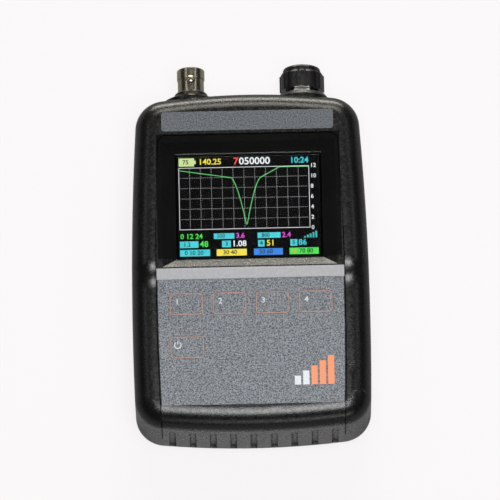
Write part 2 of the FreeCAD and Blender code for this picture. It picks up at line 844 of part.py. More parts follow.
flange_top = plate_bottom - mm.key_gap
flange_bottom = flange_top - mm.key_flange
for key, (key_x, key_y) in KEYS.items():
    cap = rounded_plate(f"{key}_cap", mm.key_width, mm.key_height, (key_x, key_y), flange_bottom,
                        keypad_height, mm.key_corner)
    skirt_x = mm.key_width / 2 + mm.key_flange
    skirt_y = mm.key_height / 2 + mm.key_flange
    skirt = block(f"{key}_skirt", (key_x - skirt_x, key_y - skirt_y, flange_bottom),
                  (key_x + skirt_x, key_y + skirt_y, flange_top))
    keep(joined(f"{key}_solid", cap, skirt), key)

# Switch board under the keys
switch_half = mm.switch_side / 2
stem_half = mm.stem_side / 2
switch_top = keypad_board_top + mm.switch_height
switch_bodies = []
for key, (key_x, key_y) in KEYS.items():
    case = block(f"{key}_switch", (key_x - switch_half, key_y - switch_half, keypad_board_top),
                 (key_x + switch_half, key_y + switch_half, switch_top))
    stem = block(f"{key}_stem", (key_x - stem_half, key_y - stem_half, switch_top - mm.stem_height),
                 (key_x + stem_half, key_y + stem_half, switch_top + mm.stem_height))
    switch_bodies.append(joined(f"{key}_switch_solid", case, stem))
keep(group("switch_group", *switch_bodies), "tact_switches")

board_half = mm.keypad_board_width / 2
keypad_plate = block("keypad_plate", (-board_half, keypad_board_low, keypad_board_bottom),
                     (board_half, keypad_board_high, keypad_board_top))
pin_holes = posts("pin_hole", mm.pin_side + mm.pilot_clearance * 2, keypad_board_bottom - OVERCUT,
                  keypad_board_top + OVERCUT)
keep(cut("keypad_board_cut", keypad_plate, *pin_holes), "keypad_board")

# Display: lens, gasket, frame and glass
keep(block("lens_block", (-lens_half_width, lens_low, lens_bottom), (lens_half_width, lens_high, lens_top)),
     "display_window")
gasket_bottom = lens_bottom - mm.gasket_thickness
gasket_frame = block("gasket_frame", (-lens_half_width, lens_low, gasket_bottom),
                     (lens_half_width, lens_high, lens_bottom))
gasket_opening = block(
    "gasket_opening",
    (mm.gasket_width - lens_half_width, lens_low + mm.gasket_width, gasket_bottom - OVERCUT),
    (lens_half_width - mm.gasket_width, lens_high - mm.gasket_width, lens_bottom + OVERCUT))
keep(cut("gasket_cut", gasket_frame, gasket_opening), "display_gasket")


def display_block(name, width, height, low, high):
    return block(name, (-width / 2, window_middle - height / 2, low),
                 (width / 2, window_middle + height / 2, high))


frame_bottom = gasket_bottom - mm.lcd_depth
glass_top = gasket_bottom - mm.lcd_lip
glass_width = mm.lcd_width - 2 * mm.lcd_wall
glass_height = mm.lcd_height - 2 * mm.lcd_wall
lcd_shell = display_block("lcd_shell", mm.lcd_width, mm.lcd_height, frame_bottom, gasket_bottom)
lcd_view = display_block("lcd_view", mm.lcd_view_width, mm.lcd_view_height, glass_top - OVERCUT,
                         gasket_bottom + OVERCUT)
lcd_bed = display_block("lcd_bed", glass_width, glass_height, frame_bottom - OVERCUT, glass_top)
keep(cut("lcd_frame_cut", lcd_shell, lcd_view, lcd_bed), "lcd_frame")
keep(display_block("lcd_glass_block", glass_width - mm.key_gap, glass_height - mm.key_gap,
                   glass_top - mm.glass_thickness, glass_top), "lcd_glass")

# Collars that seat on the bowed, rounded end of the case
case_envelope, _ = case_block("case_envelope", 0, 0, mm.seam_height)


def collar(name, x, bore, top_radius):
    """A flared ring, wide where it seats on the case."""
    start = half_length - 2 * mm.edge_radius
    sleeve = turned(name + "_ring", [
        (bore, start), (mm.collar_radius, start), (mm.collar_radius, half_length + mm.collar_rim),
        (top_radius, collar_top), (bore, collar_top)], (x, 0, mm.axis_height))
    keep(cut(name + "_cut", sleeve, front_outer, case_envelope), name)


collar("jack_collar", jack_x, mm.jack_thread_radius + mm.pilot_clearance, mm.jack_collar_top)
collar("encoder_collar", knob_x, mm.bushing_radius + mm.pilot_clearance, mm.knob_collar_top)

# Antenna jack
jack_centre = (jack_x, 0, mm.axis_height)
jack_front = inside_end
bore_floor = jack_mouth - mm.jack_bore_depth
mouth_chamfer = (mm.jack_radius - mm.jack_bore_radius) / 2
lug_y = jack_mouth - mm.lug_depth
barrel_start = lug_y + mm.lug_radius
rear_start = jack_front - mm.jack_flange
jack_tail = rear_start - mm.jack_rear
jack_barrel = turned("jack_barrel", [
    (mm.dielectric_radius, jack_tail), (mm.jack_rear_radius, jack_tail), (mm.jack_rear_radius, rear_start),
    (mm.jack_flange_radius, rear_start), (mm.jack_flange_radius, jack_front),
    (mm.jack_thread_radius, jack_front), (mm.jack_thread_radius, barrel_start),
    (mm.jack_radius, barrel_start), (mm.jack_radius, jack_mouth - mouth_chamfer),
    (mm.jack_radius - mouth_chamfer, jack_mouth), (mm.jack_bore_radius, jack_mouth),
    (mm.jack_bore_radius, bore_floor), (mm.dielectric_radius, bore_floor)], jack_centre)
lug_length = mm.lug_root + mm.lug_height
lugs = [rod("lug_front", mm.lug_radius, lug_length,
            (jack_x, lug_y, mm.axis_height + mm.jack_radius - mm.lug_root)),
        rod("lug_back", mm.lug_radius, lug_length,
            (jack_x, lug_y, mm.axis_height - mm.jack_radius - mm.lug_height))]
keep(joined("jack_solid", jack_barrel, *lugs), "jack_body")
nose_end = jack_mouth - 2 * mouth_chamfer
insulator_tail = jack_tail - mouth_chamfer
contact_bore = mm.contact_radius + mm.pilot_clearance / 5
keep(turned("insulator_body", [
    (contact_bore, insulator_tail), (mm.dielectric_radius, insulator_tail),
    (mm.dielectric_radius, bore_floor), (mm.dielectric_nose, bore_floor), (mm.dielectric_nose, nose_end),
    (contact_bore, nose_end)], jack_centre), "jack_insulator")
contact_front = nose_end - mouth_chamfer
keep(turned("contact_body", [
    (0, jack_tail - mm.contact_tail), (mm.contact_radius, jack_tail - mm.contact_tail),
    (mm.contact_radius, contact_front), (mm.contact_socket, contact_front),
    (mm.contact_socket, bore_floor), (0, bore_floor)], jack_centre), "jack_contact")


def ring(name, inner, outer, low, high, centre, chamfer):
    """A flat ring with its top edge taken off."""
    return turned(name, [(inner, low), (outer, low), (outer, high - chamfer), (outer - chamfer, high),
                         (inner, high)], centre)


washer_top = collar_top + mm.washer_thickness
keep(ring("jack_washer_body", mm.jack_thread_radius + mm.pilot_clearance, mm.washer_radius, collar_top,
          washer_top, jack_centre, mm.washer_thickness / 4), "jack_washer")
keep(ring("jack_nut_body", mm.jack_thread_radius + mm.pilot_clearance, mm.nut_radius, washer_top,
          washer_top + mm.nut_thickness, jack_centre, mm.nut_bevel), "jack_nut")

# Rotary encoder
knob_centre = (knob_x, 0, mm.axis_height)
encoder_back = inside_end - mm.encoder_depth
encoder_floor = encoder_back + mm.encoder_wall
plate_back = inside_end - mm.washer_thickness * 2
box_half = mm.encoder_side / 2
well_radius = box_half - mm.encoder_wall / 3
plate_radius = well_radius - mm.pilot_clearance
encoder_box = block("encoder_box", (knob_x - box_half, encoder_back, mm.axis_height - box_half),
                    (knob_x + box_half, inside_end, mm.axis_height + box_half))
encoder_well = rod("encoder_well", well_radius, mm.encoder_depth,
                   (knob_x, encoder_floor, mm.axis_height), "y")
keep(cut("encoder_case_cut", encoder_box, encoder_well), "encoder_case")
shaft_bore = mm.shaft_radius + mm.shaft_clearance
keep(turned("bushing_body", [
    (shaft_bore, plate_back), (plate_radius, plate_back), (plate_radius, inside_end),
    (mm.bushing_radius, inside_end),
    (mm.bushing_radius, inside_end + mm.bushing_length), (shaft_bore, inside_end + mm.bushing_length)],
    knob_centre), "encoder_bushing")
disc_back = encoder_floor + mm.push_travel * 2
disc_front = plate_back - mm.push_travel
keep(turned("disc_body", [(shaft_bore, disc_back), (mm.disc_radius, disc_back), (mm.disc_radius, disc_front),
                          (shaft_bore, disc_front)], knob_centre), "encoder_disc")
hexagon = doc.addObject("Part::Prism", "encoder_nut_hexagon")
hexagon.Polygon = 6
bind(hexagon, "Circumradius", mm.encoder_nut_radius)
bind(hexagon, "Height", mm.encoder_nut)
place(hexagon, knob_x, collar_top, mm.axis_height, rotation=AXES["y"])
nut_bore = rod("encoder_nut_bore", mm.bushing_radius + mm.pilot_clearance, mm.encoder_nut + 2 * OVERCUT,
               (knob_x, collar_top - OVERCUT, mm.axis_height), "y")
keep(cut("encoder_nut_cut", hexagon, nut_bore), "encoder_nut")
hollow_top = knob_rim + mm.knob_hollow_depth
bore_top = knob_shoulder - mm.encoder_wall / 2
keep(rod("shaft_rod", mm.shaft_radius, bore_top - encoder_floor - mm.push_travel - mm.key_gap,
         (knob_x, encoder_floor + mm.push_travel + mm.key_gap, mm.axis_height), "y"), "encoder_shaft")

# Knob: a turned body with raised ribs between pairs of grooves
knob_body = turned("knob_body", [
    (mm.knob_hollow_radius, knob_rim), (mm.knob_radius, knob_rim),
    (mm.knob_radius, knob_shoulder - mm.cap_round), (mm.knob_radius - mm.cap_round / 2, knob_shoulder),
    (0, knob_shoulder), (0, bore_top), (mm.shaft_radius, bore_top), (mm.shaft_radius, hollow_top),
    (mm.knob_hollow_radius, hollow_top)], knob_centre)


def rectangle(sketch, low, high):
    polygon(sketch, [low, (high[0], low[1]), high, (low[0], high[1])])


rib_sketch = new_sketch(knob_body, "rib_sketch", "XY_Plane", knob_rim)
rectangle(rib_sketch, (mm.knob_radius - mm.groove_depth, -mm.rib_width / 2),
          (mm.knob_radius + mm.rib_height, mm.rib_width / 2))
rib = pad(knob_body, "rib", rib_sketch, knob_shoulder - mm.cap_round - knob_rim)
groove_sketch = new_sketch(knob_body, "groove_sketch", "XY_Plane", knob_shoulder)
groove_out = mm.rib_width / 2 + mm.groove_width
for inner, outer in ((mm.rib_width / 2, groove_out), (-groove_out, -mm.rib_width / 2)):
    rectangle(groove_sketch, (mm.knob_radius - mm.groove_depth, inner),
              (mm.knob_radius + mm.groove_depth, outer))
volume_before = knob_body.Shape.Volume
groove = knob_body.newObject("PartDesign::Pocket", "groove")
groove.Profile = groove_sketch
bind(groove, "Length", knob_shoulder - knob_rim)
doc.recompute()
if groove.Shape.Volume > volume_before - 0.1:
    raise RuntimeError("the knob's grooves cut nothing")
rib_ring = knob_body.newObject("PartDesign::PolarPattern", "rib_ring")
rib_ring.Originals = [rib, groove]
rib_ring.Axis = (rib_sketch, ["N_Axis"])
rib_ring.Angle = 360
rib_ring.Occurrences = RIB_COUNT
knob_body.Tip = rib_ring
doc.recompute()
keep(knob_body, "knob")
keep(turned("cap_body", [
    (0, knob_shoulder), (mm.cap_radius, knob_shoulder),
    (mm.cap_radius, knob_shoulder + mm.cap_height - mm.cap_round),
    (mm.cap_radius - mm.cap_round / 3, knob_shoulder + mm.cap_height - mm.cap_round / 3),
    (mm.cap_radius - mm.cap_round, knob_shoulder + mm.cap_height),
    (0, knob_shoulder + mm.cap_height)], knob_centre), "knob_cap")

# Back shell: floor, wall, screw columns, registration lip and board pillars
back_outer, back_blank = case_block("back_outer", 0, 0, mm.seam_height)


def is_back_rim(edge):
    return edge.BoundBox.ZMax < 0.01


back_bevel = back_outer.newObject("PartDesign::Chamfer", "back_bevel")
back_bevel.Base = (back_blank, edge_names(back_blank.Shape, is_back_rim))
bind(back_bevel, "Size", mm.back_bevel)
doc.recompute()
back_inner, _ = case_block("back_inner", mm.wall, mm.wall, mm.seam_height + OVERCUT)
lip_inset = mm.wall + mm.lip_clearance
lip_outer, _ = case_block("lip_outer", lip_inset, mm.wall, mm.seam_height + mm.lip_height)
lip_inner, _ = case_block("lip_inner", lip_inset + mm.lip_wall, mm.wall - OVERCUT,
                          mm.seam_height + mm.lip_height + OVERCUT)
lip_gap = block("lip_gap", (-knob_x - mm.collar_radius, half_length / 2, mm.seam_height - 3 * mm.lip_height),
                (knob_x + mm.collar_radius, half_length, mm.case_thickness))
boss_room = [rod(f"boss_room_{index}", mm.boss_radius + mm.lip_clearance, mm.case_thickness,
                 (x, y, mm.seam_height)) for index, (x, y) in enumerate(SCREW_PLACES)]
lip_bridge = block("lip_bridge", (-far_side, -half_length, mm.seam_height - mm.lip_height * 2),
                   (far_side, half_length, mm.seam_height + mm.lip_height * 2))
lip_ring = cut("lip_ring", lip_outer, lip_inner)
lip = cut("lip", shared("lip_band", lip_ring, lip_bridge), lip_gap, *boss_room)
lip_root_outer, _ = case_block("lip_root_outer", mm.wall / 2, mm.seam_height - mm.lip_height * 2,
                               mm.seam_height)
lip_root_inner, _ = case_block("lip_root_inner", lip_inset + mm.lip_wall, mm.seam_height - mm.lip_height * 3,
                               mm.seam_height + OVERCUT)
lip_root = cut("lip_root", lip_root_outer, lip_root_inner, lip_gap)
columns = [rod(f"column_{index}", mm.boss_radius + mm.wall / 3, mm.seam_height - mm.wall / 2,
               (x, y, mm.wall / 2)) for index, (x, y) in enumerate(SCREW_PLACES)]
main_board_high = mm.axis_height - mm.contact_radius
main_board_low = main_board_high - mm.main_board_thickness
bay_half_height = 2 * mm.cell_radius + 3 * mm.cell_gap / 2
main_board_top = half_length - mm.main_board_shoulder
main_board_bottom = cells_middle + bay_half_height + mm.tray_wall + mm.main_board_gap
pillar_high = main_board_top - mm.pillar_high_inset
PILLAR_PLACES = [(side * mm.pillar_x, y) for y in (main_board_bottom + mm.pillar_low_inset, pillar_high)
                 for side in (-1, 1)]
pillars = [rod(f"pillar_{index}", mm.pillar_radius, main_board_low - mm.wall / 2, (x, y, mm.wall / 2))
           for index, (x, y) in enumerate(PILLAR_PLACES)]
head_room = [rod(f"head_room_{index}", mm.screw_head_radius + mm.screw_clearance, mm.screw_seat + OVERCUT,
                 (x, y, -OVERCUT)) for index, (x, y) in enumerate(SCREW_PLACES)]
shank_room = [rod(f"shank_room_{index}", mm.screw_radius + mm.screw_clearance, mm.seam_height + OVERCUT,
                  (x, y, 0)) for index, (x, y) in enumerate(SCREW_PLACES)]
pillar_pilots = [rod(f"pillar_pilot_{index}", mm.screw_radius + mm.pilot_clearance, mm.screw_grip,
                     (x, y, main_board_low - mm.screw_grip + OVERCUT / 2))
                 for index, (x, y) in enumerate(PILLAR_PLACES)]

bay_half_width = (mm.cell_length + mm.spring_length) / 2 + mm.contact_plate
door_low = cells_middle - bay_half_height
door_high = cells_middle + bay_half_height
door_hole = block("door_hole", (-bay_half_width, door_low, -OVERCUT),
                  (bay_half_width, door_high, mm.wall + OVERCUT))
TAB_SIDES = (-1, 1)
tab_floor = mm.wall - mm.tab_thickness - mm.key_gap


def tab_block(name, side_sign, margin, low, high, reach):
    middle = side_sign * mm.tab_spacing / 2
    half = mm.tab_width / 2 + margin
    return block(name, (middle - half, door_high - mm.wall, low), (middle + half, door_high + reach, high))


tab_room = [tab_block(f"tab_room_{side_sign}", side_sign, mm.door_gap, tab_floor, mm.wall + OVERCUT,
                      mm.tab_length + mm.door_gap) for side_sign in TAB_SIDES]
back_solid = joined("back_solid", cut("back_wall", back_outer, back_inner), lip, lip_root, *columns, *pillars)
keep(cut("back_shell_cut", back_solid, grips, flutes, door_hole, *tab_room, *head_room, *shank_room,
         *pillar_pilots), "back_shell")

# Battery door: it hooks under the floor by two tabs and swings out about its upper edge
door_plate = block("door_plate", (mm.door_gap - bay_half_width, door_low + mm.door_gap, mm.door_recess),
                   (bay_half_width - mm.door_gap, door_high - mm.door_gap, mm.wall))
door_tabs = [tab_block(f"door_tab_{side_sign}", side_sign, 0, tab_floor + mm.key_gap, mm.wall,
                       mm.tab_length - mm.door_gap) for side_sign in TAB_SIDES]
thumb_axis = mm.door_recess + mm.wall / 3 - mm.tab_width
thumb_notch = rod("thumb_notch", mm.tab_width, mm.thumb_width,
                  (-mm.thumb_width / 2, door_low + mm.tab_width / 2, thumb_axis), "x")
keep(cut("door_cut", joined("door_solid", door_plate, *door_tabs), thumb_notch), "battery_door")

# Battery tray, cells, contact plates and springs
cell_bottom = mm.wall + 2 * mm.cell_gap
cell_height = cell_bottom + mm.cell_radius
tray_top = cell_height + mm.cell_radius + mm.cell_gap
tray_outer = block("tray_outer", (-bay_half_width - mm.tray_wall, door_low - mm.tray_wall, mm.wall),
                   (bay_half_width + mm.tray_wall, door_high + mm.tray_wall, tray_top + mm.tray_wall))
tray_inner = block("tray_inner", (-bay_half_width, door_low, mm.wall - OVERCUT),
                   (bay_half_width, door_high, tray_top))
tray_notches = [tab_block(f"tray_notch_{side_sign}", side_sign, mm.door_gap, mm.wall - OVERCUT,
                          mm.wall + mm.tab_length, mm.tray_wall + OVERCUT) for side_sign in TAB_SIDES]
keep(cut("tray_cut", tray_outer, tray_inner, *tray_notches), "battery_tray")
plate_face = bay_half_width - mm.contact_plate
plate_half_width = mm.cell_radius * 2 - mm.spring_leaf
plate_half_height = mm.plate_height / 2


def leaf_spring(name, plate_x, direction, y):
    """A bent strip that stands on a contact plate and presses on the cell's flat end."""
    body = new_body(name)
    sketch = new_sketch(body, name + "_profile", "XY_Plane", cell_height - mm.spring_width / 2)
    foot, nose, leaf = mm.spring_width / 2, mm.spring_width / 6, mm.spring_leaf
    tip = plate_x + direction * mm.spring_length
    under_tip = tip - direction * leaf
    polygon(sketch, [(plate_x, y - foot), (tip, y - nose), (tip, y + nose), (plate_x, y + foot),
                     (plate_x, y + foot - leaf), (under_tip, y + nose - leaf / 2),
                     (under_tip, y - nose + leaf / 2), (plate_x, y - foot + leaf)])
    pad(body, name + "_strip", sketch, mm.spring_width)
    return body


cells, springs, plates = [], [], []
for number, direction in ((1, 1), (2, -1)):
    cell_y = cells_middle + direction * (mm.cell_radius + mm.cell_gap / 2)
    flat_end = direction * (plate_face - mm.cell_length)
    cell_x = flat_end if direction > 0 else flat_end - mm.cell_length
    cells.append(rod(f"cell_{number}", mm.cell_radius, mm.cell_length, (cell_x, cell_y, cell_height), "x"))
    springs.append(leaf_spring(f"spring_{number}", -direction * plate_face, direction, cell_y))
    plate_x = plate_face if direction > 0 else -bay_half_width
    plates.append(block(f"plate_{number}", (plate_x, cells_middle - plate_half_width,
                                            cell_height - plate_half_height),
                        (plate_x + mm.contact_plate, cells_middle + plate_half_width,
                         cell_height + plate_half_height)))
keep(group("cell_group", *cells), "battery_cells")
keep(group("spring_group", *springs), "battery_springs")
keep(group("plate_group", *plates), "battery_contacts")

# Main board and its screen
half_board = mm.main_board_width / 2
main_plate = block("main_plate", (-half_board, main_board_bottom, main_board_low),
                   (half_board, main_board_top, main_board_high))
board_holes = [rod(f"board_hole_{index}", mm.screw_radius + mm.screw_clearance,
                   mm.main_board_thickness + 2 * OVERCUT, (x, y, main_board_low - OVERCUT))
               for index, (x, y) in enumerate(PILLAR_PLACES)]
keep(cut("main_board_cut", main_plate, *board_holes), "main_board")
shield_x = mm.shield_width / 2
shield_low = pillar_high - mm.shield_length - mm.wall
shield_outer = block("shield_outer", (-shield_x, shield_low, main_board_high),
                     (shield_x, shield_low + mm.shield_length, main_board_high + mm.shield_height))
shield_inner = block("shield_inner", (mm.shield_wall - shield_x, shield_low + mm.shield_wall,
                                      main_board_high - OVERCUT),
                     (shield_x - mm.shield_wall, shield_low + mm.shield_length - mm.shield_wall,
                      main_board_high + mm.shield_height - mm.shield_wall))
keep(cut("shield_cut", shield_outer, shield_inner), "rf_shield")


# Screws
def case_screw(name, x, y):
    """A pan-headed screw that holds the shells together from the back."""
    head = rod(name + "_head", mm.screw_head_radius, mm.screw_head, (x, y, mm.screw_seat - mm.screw_head))
    shank = rod(name + "_shank", mm.screw_radius, mm.seam_height - mm.screw_seat + mm.screw_grip,
                (x, y, mm.screw_seat))
    return joined(name, head, shank)


def board_screw(name, x, y):
    """A hexagonal screw that holds the main board on its pillar."""
    head = doc.addObject("Part::Prism", name + "_head")
    head.Polygon = 6
    bind(head, "Circumradius", mm.screw_head_radius)
    bind(head, "Height", mm.screw_head)
    place(head, x, y, main_board_high)
    length = mm.main_board_thickness + mm.screw_grip / 2
    shank = rod(name + "_shank", mm.screw_radius, length, (x, y, main_board_high - length))
    return joined(name, head, shank)


keep(group("case_screw_group", *[case_screw(f"case_screw_{index}", x, y)
                                 for index, (x, y) in enumerate(SCREW_PLACES)]), "case_screws")
keep(group("board_screw_group", *[board_screw(f"board_screw_{index}", x, y)
                                  for index, (x, y) in enumerate(PILLAR_PLACES)]), "board_screws")

# Check and write
doc.recompute()
for item in doc.Objects:
    if "Invalid" in item.State or "Error" in item.State:
        raise RuntimeError(f"{item.Label} failed: {item.State}")
os.makedirs("parts", exist_ok=True)
for name, item in nodes.items():
    shape = item.Shape
    if shape.isNull() or not shape.isValid():
        raise RuntimeError(f"{name} has no valid shape")
    shape.exportStep(f"parts/{name}.step")
    box = shape.BoundBox
    print(f"{name}: {len(shape.Solids)} solids, {shape.Volume:.1f} mm3, x {box.XMin:.2f} {box.XMax:.2f}, "
          f"y {box.YMin:.2f} {box.YMax:.2f}, z {box.ZMin:.2f} {box.ZMax:.2f}")
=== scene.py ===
"""Looks of a hand-held antenna analyzer: finishes, printed marks, a lit display and a stage."""
import math

import bmesh
import bpy
from bpy.props import FloatProperty, FloatVectorProperty, IntProperty, PointerProperty
from mathutils import Matrix, Vector


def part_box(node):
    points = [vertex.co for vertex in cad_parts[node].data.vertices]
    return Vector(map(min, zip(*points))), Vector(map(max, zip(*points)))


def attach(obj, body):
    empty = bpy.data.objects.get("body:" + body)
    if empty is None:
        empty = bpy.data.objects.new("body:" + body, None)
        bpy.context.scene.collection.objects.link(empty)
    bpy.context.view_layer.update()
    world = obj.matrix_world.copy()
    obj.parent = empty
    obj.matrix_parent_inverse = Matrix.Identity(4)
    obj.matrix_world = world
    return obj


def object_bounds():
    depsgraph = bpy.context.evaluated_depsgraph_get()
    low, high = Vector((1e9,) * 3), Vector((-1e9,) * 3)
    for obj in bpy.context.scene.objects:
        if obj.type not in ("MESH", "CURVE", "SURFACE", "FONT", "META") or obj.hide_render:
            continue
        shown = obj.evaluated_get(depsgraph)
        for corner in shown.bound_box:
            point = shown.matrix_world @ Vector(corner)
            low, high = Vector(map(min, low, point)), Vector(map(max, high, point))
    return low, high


bl_info = {
    "name": "Antenna Analyzer Looks",
    "version": (1, 0, 0),
    "blender": (4, 5, 0),
    "location": "View3D > Sidebar > Analyzer",
    "description": "Finishes the packed antenna analyzer and sets it on a plain stage",
    "category": "Object",
}

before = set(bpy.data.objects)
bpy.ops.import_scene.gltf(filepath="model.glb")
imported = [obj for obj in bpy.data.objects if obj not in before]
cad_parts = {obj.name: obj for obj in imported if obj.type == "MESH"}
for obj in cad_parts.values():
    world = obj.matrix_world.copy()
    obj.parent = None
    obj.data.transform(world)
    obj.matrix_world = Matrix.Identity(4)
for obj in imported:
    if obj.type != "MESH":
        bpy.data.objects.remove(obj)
CAD_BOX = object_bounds()
MM = 0.001
KEYS = ("key_1", "key_2", "key_3", "key_4", "key_power")

# Print and numerals
PRINT_HEIGHT = 0.03 * MM
BOLDNESS = 0.02  # growth of a numeral's strokes, as a share of its height
WELD_DISTANCE = 1e-7

# Areas of the front that differ from its grained plastic: a smoother bezel, and the ledge below the display,
# whose light colour is a painted highlight
BEZEL_SLOPE = 5 * MM
LOWER_SLOPE_TOP = 1.2 * MM
LEDGE_TO_WINDOW = 2.4 * MM

# Finishes
PLASTIC_IOR, LENS_IOR = 1.48, 1.45
NOISE_START, NOISE_END = 0.3, 0.7
TURNING_MARKS = (0.3, 3, 0.3)  # noise stretched round a part that was turned about Y
BACK_DULLER, COLLAR_DARKER = 0.08, 0.7

# Display layout in millimetres from the display's middle
PLOT_LEFT, PLOT_TOP = -24.4, 14.9
HEAD_ROW, UPPER_ROW, LOWER_ROW, FOOT_ROW = 16.9, -10.4, -13.3, -16.4
PICTURE_LIFT = 0.01 * MM

# Stage
SENSOR_WIDTH = 36
LAMP_AIM = Vector((0, 0, 0.015))
FLOOR_REACH, FLOOR_GAP, FLOOR_ROUGHNESS = 3, 0.1 * MM, 0.9
FLOOR_TINT = (1, 0.975, 0.982)
GROUND_UNSEEN, GROUND_SEEN = 0.15, 0.82  # matt floor, to bounced light and to the camera
ROOM_COLOUR, BACKDROP_COLOUR = (0.025, 0.025, 0.025), (0.93, 0.91, 0.915)

# Share of the pale glow that each kind of ray sees
FLOOR_GLOW = {"Camera": 0.85, "Glossy": 0.2, "Transmission": 0.85}
BACKDROP_GLOW = {"Camera": 1, "Glossy": 0.01, "Transmission": 0.01}


# Settings that a user would change
def colour(name, default, description):
    """A colour setting."""
    return FloatVectorProperty(name=name, description=description, subtype="COLOR", size=3, min=0, max=1,
                               default=default)


def length(name, millimetres, description):
    """A length setting, given in millimetres and kept in metres."""
    return FloatProperty(name=name, description=description, subtype="DISTANCE", unit="LENGTH",
                         default=millimetres * MM, precision=5)


def share(name, default, description):
    """A setting from nothing to one."""
    return FloatProperty(name=name, description=description, subtype="FACTOR", min=0, max=1, default=default)


class CaseFinish(bpy.types.PropertyGroup):
    """Colours and grain of the mouldings and films."""
    shell_colour: colour("Shell", (0.0045, 0.0045, 0.0045), "Colour of the grained front mouldings")
    back_colour: colour("Back", (0.012, 0.01, 0.007), "Colour of the back shell and the battery door")
    film_colour: colour("Keypad film", (0.155, 0.17, 0.195), "Mean colour of the speckled keypad film")
    label_colour: colour("Label film", (0.085, 0.095, 0.11), "Mean colour of the speckled label")
    shell_roughness: share("Shell roughness", 0.26, "Roughness of the front mouldings")
    grain_size: length("Grain", 0.42, "Width of one grain of the moulded texture")
    grain_depth: length("Grain depth", 0.07, "Depth of the moulded texture")
    # The ledge is black plastic like the rest; this light grey is a painted highlight that stands in for a
    # lamp's reflection
    ledge_highlight_colour: colour("Ledge", (0.54, 0.54, 0.56), "Colour of the satin ledge below the display")
    speckle_size: length("Speckle", 0.5, "Width of one speckle of the films")


class KeypadPrint(bpy.types.PropertyGroup):
    """Print on the keys and the keypad film."""
    outline_colour: colour("Outline", (0.5, 0.27, 0.2), "Colour of the key outlines")
    legend_colour: colour("Legend", (0.72, 0.77, 0.82), "Colour of the numerals and the power sign")
    mark_colour: colour("Mark", (0.9, 0.3, 0.14), "Warm colour of the bar mark")
    outline_width: length("Outline width", 0.25, "Width of the printed key outlines")
    outline_corner: length("Outline corner", 1.2, "Corner radius of the printed key outlines")
    numeral_height: length("Numerals", 2.1, "Height of the printed numerals")


class DisplayPicture(bpy.types.PropertyGroup):
    """What the display shows."""
    plot_width: length("Plot width", 45.7, "Width of the plot")
    plot_height: length("Plot height", 22.8, "Height of the plot")
    columns: IntProperty(name="Columns", description="Grid columns of the plot", default=12, min=1, max=24)
    rows: IntProperty(name="Rows", description="Grid rows of the plot", default=6, min=1, max=12)
    dip_place: share("Dip place", 0.515, "Place of the curve's dip, as a share of the plot's width")
    dip_width: length("Dip width", 5.3, "Distance from the dip to the knees of the curve")
    line_width: length("Curve width", 0.22, "Width of the plotted curve")
    brightness: FloatProperty(name="Brightness", description="Strength of the lit segments", default=0.9,
                              min=0, max=4)


class StageSettings(bpy.types.PropertyGroup):
    """Camera and lights."""
    tilt: FloatProperty(name="Tilt", description="Camera angle from the display's normal towards the foot",
                        subtype="ANGLE", default=math.radians(17.5))
    roll: FloatProperty(name="Roll", description="Turn of the camera about its view", subtype="ANGLE",
                        default=math.radians(1.25))
    distance: FloatProperty(name="Distance", description="Camera distance", subtype="DISTANCE", unit="LENGTH",
                            default=3.0, min=0.5)
    field: length("Field", 175.0, "Width of the view at the object")
    shift_across: length("Across", -0.23, "Aim of the camera to the right of the origin")
    shift_up: length("Up", 11.62, "Aim of the camera above the origin, as seen in the picture")
    floor_level: share("Floor", 0.97, "Brightness of the floor as the camera sees it")


# Node helpers
def maths(tree, operation, *values):
    """The result of a Math node over sockets and plain numbers."""
    made = tree.nodes.new("ShaderNodeMath")
    made.operation = operation
    for socket, value in zip(made.inputs, values):
        if isinstance(value, bpy.types.NodeSocket):
            tree.links.new(value, socket)
        else:
            socket.default_value = value
    return made.outputs[0]


def mixed(tree, factor, first, second):
    """Two surfaces mixed, all of the second where the factor is one."""
    mix = tree.nodes.new("ShaderNodeMixShader")
    for socket, source in zip(mix.inputs, (factor, first, second)):
        tree.links.new(source, socket)
    return mix.outputs[0]


def seen(tree, glow):
    """A share of a glow for each kind of ray."""
    path = tree.nodes.new("ShaderNodeLightPath")
    total = 0
    for ray, part in glow.items():
        total = maths(tree, "MULTIPLY_ADD", path.outputs["Is %s Ray" % ray], part, total)
    return total


